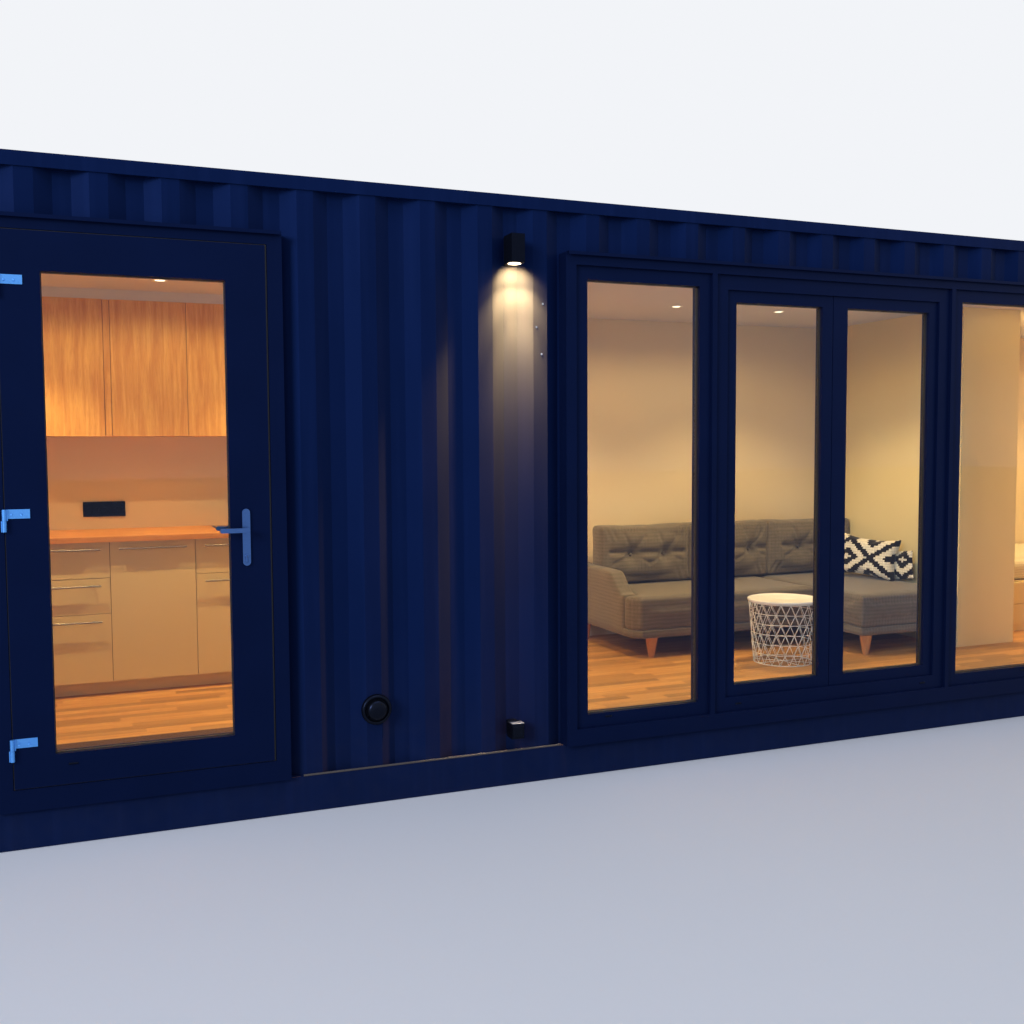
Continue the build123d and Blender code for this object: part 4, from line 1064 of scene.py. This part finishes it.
def ceiling_spots():
    """The row of recessed spots in the ceiling: a white ring round a lit lens."""
    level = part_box("ceiling")[0].z
    rings, lenses = bmesh.new(), bmesh.new()
    for i in range(SPOT_COUNT):
        place = (SPOT_FIRST + i * SPOT_PITCH, SPOT_LINE, level)
        if inside_cupboard(place[0]):
            continue
        lathe(rings, place, (0, 0, -1),
              [(29 * MM, 0), (29 * MM, 3 * MM), (33 * MM, 5 * MM), (41 * MM, 4 * MM), (43 * MM, 0)], 32)
        lathe(lenses, place, (0, 0, -1), [(0, 2.2 * MM), (27 * MM, 2 * MM), (29 * MM, 0.5 * MM)], 32)
    settle(rings, "spot_rings", white_lacquer, smooth=True)
    settle(lenses, "spot_lenses", spot_glow, smooth=True)


def inside_cupboard(x):
    """True where a spot would sit over the boxed cupboard, which reaches the ceiling, or close by it."""
    low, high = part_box("cupboard")
    return low.x - 260 * MM < x < high.x + 60 * MM


def day_bed():
    """Stuffed mattress under a plain cover, two rows of drawer fronts below it, and a pillow at its head."""
    low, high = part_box("bed_mattress")
    bm = cushion_block(low + Vector((8 * MM, 8 * MM, 1 * MM)), high - Vector((8 * MM, 8 * MM, 8 * MM)), 30 * MM)
    mattress = stuff(bm, "mattress_cover", bed_cotton, BED_VOXEL, 6, 1.5, 8 * MM, slack=-0.01)
    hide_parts("bed_mattress")

    bed_low, bed_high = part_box("day_bed")
    drawers = bmesh.new()
    gap = 4 * MM
    step = (bed_high.x - bed_low.x) / BED_DRAWERS
    for i in range(BED_DRAWERS):
        for foot, head in ((bed_low.z + 55 * MM, bed_low.z + 205 * MM),
                           (bed_low.z + 209 * MM, bed_high.z - 12 * MM)):
            block(drawers, (bed_low.x + i * step + gap / 2, bed_low.y - 16 * MM, foot),
                  (bed_low.x + (i + 1) * step - gap / 2, bed_low.y, head), 1.5 * MM)
    settle(drawers, "bed_drawer_fronts", pale_lacquer)

    size = Vector((420 * MM, 0, 260 * MM))
    centre = Vector((low.x + 60 * MM, low.y + 330 * MM, high.z + 118 * MM))
    headrest = pillow("bed_pillow", centre, size.x, size.z, 100 * MM, math.radians(-14), 0.0, 0.0,
                      bed_cotton)


def weld_beads():
    """Weld beads where the folded sheets meet the rails, along the back and both ends."""
    bm = bmesh.new()
    back_low, back_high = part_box("back_sheet")
    ends_low, ends_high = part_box("end_sheets")
    for z in (back_high.z, back_low.z):
        wire(bm, wavering((back_low.x, back_high.y, z), (back_high.x, back_high.y, z), 60), 3 * MM)
        for x in (ends_low.x, ends_high.x):
            wire(bm, wavering((x, ends_low.y, z), (x, ends_high.y, z), 24), 3 * MM)
    settle(bm, "weld_beads", enamel, smooth=True)


def wavering(start, end, count):
    """Points along a hand-laid bead, off the straight by up to a millimetre."""
    start, end = Vector(start), Vector(end)
    points = []
    for i in range(count + 1):
        off = Vector((0, 0, chance.uniform(-1, 1) * MM))
        points.append(start.lerp(end, i / count) + off)
    return points


# Stage, lamps and camera

def studio():
    """Pale floor and a white sky that only the camera and mirrors see at full strength."""
    bpy.ops.mesh.primitive_plane_add(size=120, location=(0, 0, -2 * MM))
    floor = bpy.context.object
    floor.name = "studio_floor"
    material, tree, shader, place = blank("studio_floor", Roughness=0.9, Specular_IOR_Level=0.0)
    mottle = add(tree, "ShaderNodeTexNoise", {"Vector": place, "Scale": 0.4})
    tone = add(tree, "ShaderNodeMix", {0: mottle.outputs[0], 6: linear("#eceef1"), 7: linear("#f1f2f4")},
               data_type="RGBA")
    dress(tree, shader, Base_Color=tone.outputs[2])
    floor.data.materials.append(material)
    floor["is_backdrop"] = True
    world = bpy.data.worlds.new("studio")
    scene.world = world
    world.use_nodes = True
    sky = world.node_tree
    sky.nodes.clear()
    path = add(sky, "ShaderNodeLightPath")
    seen = path.outputs["Is Camera Ray"]
    for ray in ("Is Transmission Ray", "Is Glossy Ray"):
        seen = add(sky, "ShaderNodeMath", {0: seen, 1: path.outputs[ray]}, operation="MAXIMUM").outputs[0]
    soft = add(sky, "ShaderNodeBackground", {"Color": linear("#e8edf8"), "Strength": 0.55})
    plain = add(sky, "ShaderNodeBackground", {"Color": linear("#f2f4f8"), "Strength": 1.0})
    both = add(sky, "ShaderNodeMixShader", {0: seen, 1: soft.outputs[0], 2: plain.outputs[0]})
    add(sky, "ShaderNodeOutputWorld", {"Surface": both.outputs[0]})


def lamp(name, kind, place, aim, power, colour, **settings):
    """One lamp of the scene, turned towards aim."""
    data = bpy.data.lights.new(name, kind)
    data.energy = power
    data.color = linear(colour)[:3]
    for key, value in settings.items():
        setattr(data, key, value)
    made = bpy.data.objects.new(name, data)
    scene.collection.objects.link(made)
    made.location = place
    made.rotation_euler = (Vector(aim) - Vector(place)).to_track_quat("-Z", "Y").to_euler()
    return made


def lights():
    """Soft daylight from the left and above, the row of warm ceiling spots, and a warm fill in each room.
    Only the daylight from the left reaches the studio floor."""
    ceiling_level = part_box("ceiling")[0].z
    indoors = bpy.data.collections.new("lit_by_room_lamps")
    off_wall = bpy.data.collections.new("lit_by_kitchen_lamps")
    for piece in scene.objects:
        if piece.type == "MESH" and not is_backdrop(piece):
            indoors.objects.link(piece)
            # Under the wall units the photograph's wall takes none of the stronger lamps' light.
            if piece != nodes["back_lining"]:
                off_wall.objects.link(piece)
    lamp("daylight_left", "AREA", (-20.5, -14.0, 8.8), (0, 0, 1.4), 3900, "#dfe8ff", shape="RECTANGLE",
         size=8.0, size_y=8.0)
    # Open sky over the front: it brightens sills, slopes and ledges that face up.
    made = lamp("sky_above", "AREA", (-1.5, -4.5, 9.0), (-1.5, -1.2, 1.5), 260, "#b9ccff", shape="RECTANGLE",
                size=8.0, size_y=3.0)
    made.light_linking.receiver_collection = indoors
    for x, width in FILLS:
        made = lamp(f"room_fill_{x:g}", "AREA", (x, FILL_LINE, ceiling_level - 0.02), (x, FILL_LINE + 0.25, 0),
                    1.2 * width, ROOM_LIGHT, shape="RECTANGLE", size=width, size_y=0.4)
        made.light_linking.receiver_collection = indoors
    for i in range(SPOT_COUNT):
        x = SPOT_FIRST + i * SPOT_PITCH
        if inside_cupboard(x):
            continue
        # Every other one is turned up, so that things throw a clear shadow.
        for name, power, angle, blend in CEILING_LAMPS[:1 + i % 2]:
            made = lamp(f"ceiling_{name}_{i}", "SPOT", (x, LAMP_LINE, ceiling_level - 0.012), (x, LAMP_LINE, 0),
                        power, ROOM_LIGHT, spot_size=math.radians(angle), spot_blend=blend,
                        shadow_soft_size=0.012)
            kitchen_key = name == "key" and i < KITCHEN_SPOTS
            made.light_linking.receiver_collection = off_wall if kitchen_key else indoors


def lamp_pool():
    """The wall lamp's own light, falling down the folded wall and on the rail; the stage doesn't take it."""
    low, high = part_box("wall_lamp")
    place = ((low.x + high.x) / 2 + 12 * MM, low.y + LAMP_DEPTH / 2, low.z - 4 * MM)
    painted = bpy.data.collections.new("paint_lit_by_wall_lamp")
    fittings = bpy.data.collections.new("fittings_lit_by_wall_lamp")
    for piece in scene.objects:
        if piece.type != "MESH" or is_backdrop(piece):
            continue
        finish = piece.data.materials[0] if piece.data.materials else None
        if finish == enamel:
            painted.objects.link(piece)
        elif finish in (black_abs, dusty_sealant, flap_painted_highlight_grey, zinc):
            fittings.objects.link(piece)
    # A lens throws most of the light straight down and the rest spreads. Navy paint takes little of it.
    down, inward = (0.12, 0.05, -2), (0.01, 0.083, -0.1)
    for name, power, colour, angle, way, group in (
            ("beam", 7000, LAMP_LIGHT, 44, down, painted), ("spread", 3300, LAMP_LIGHT, 96, down, painted),
            ("wash", 620, LAMP_LIGHT, 124, inward, painted), ("glow", 30, LAMP_LIGHT, 178, down, painted),
            ("spill", 1500, "#ffe0b4", 36, down, fittings)):
        made = lamp(f"wall_lamp_{name}", "SPOT", place, Vector(place) + Vector(way), power, colour,
                    spot_size=math.radians(angle), spot_blend=1.0, shadow_soft_size=0.012)
        made.light_linking.receiver_collection = group
        # Its glints on the far folds don't show in the photograph's view.
        made.visible_glossy = group == fittings


def camera():
    """The photograph's view: eye height, turned to the right and slightly down."""
    ahead = Vector((math.sin(TURN) * math.cos(DOWN), math.cos(TURN) * math.cos(DOWN), -math.sin(DOWN)))
    right = Vector((math.cos(TURN), -math.sin(TURN), 0))
    above = right.cross(ahead)
    side = math.cos(OVER) * right + math.sin(OVER) * above
    top = -math.sin(OVER) * right + math.cos(OVER) * above
    data = bpy.data.cameras.new("photo_view")
    data.sensor_width = SENSOR
    data.lens = LENS
    made = bpy.data.objects.new("photo_view", data)
    scene.collection.objects.link(made)
    made.matrix_world = Matrix.Translation(EYE) @ Matrix((side, top, -ahead)).transposed().to_4x4()
    scene.camera = made


for make in (sofa, scatter_pillows, basket_table, day_bed, strip_floor, kitchen_details, ceiling_spots, glazing,
             door_seals, fixings, wall_fittings, weld_beads, studio, lights, lamp_pool, camera):
    make()
scene.view_settings.view_transform = "Standard"
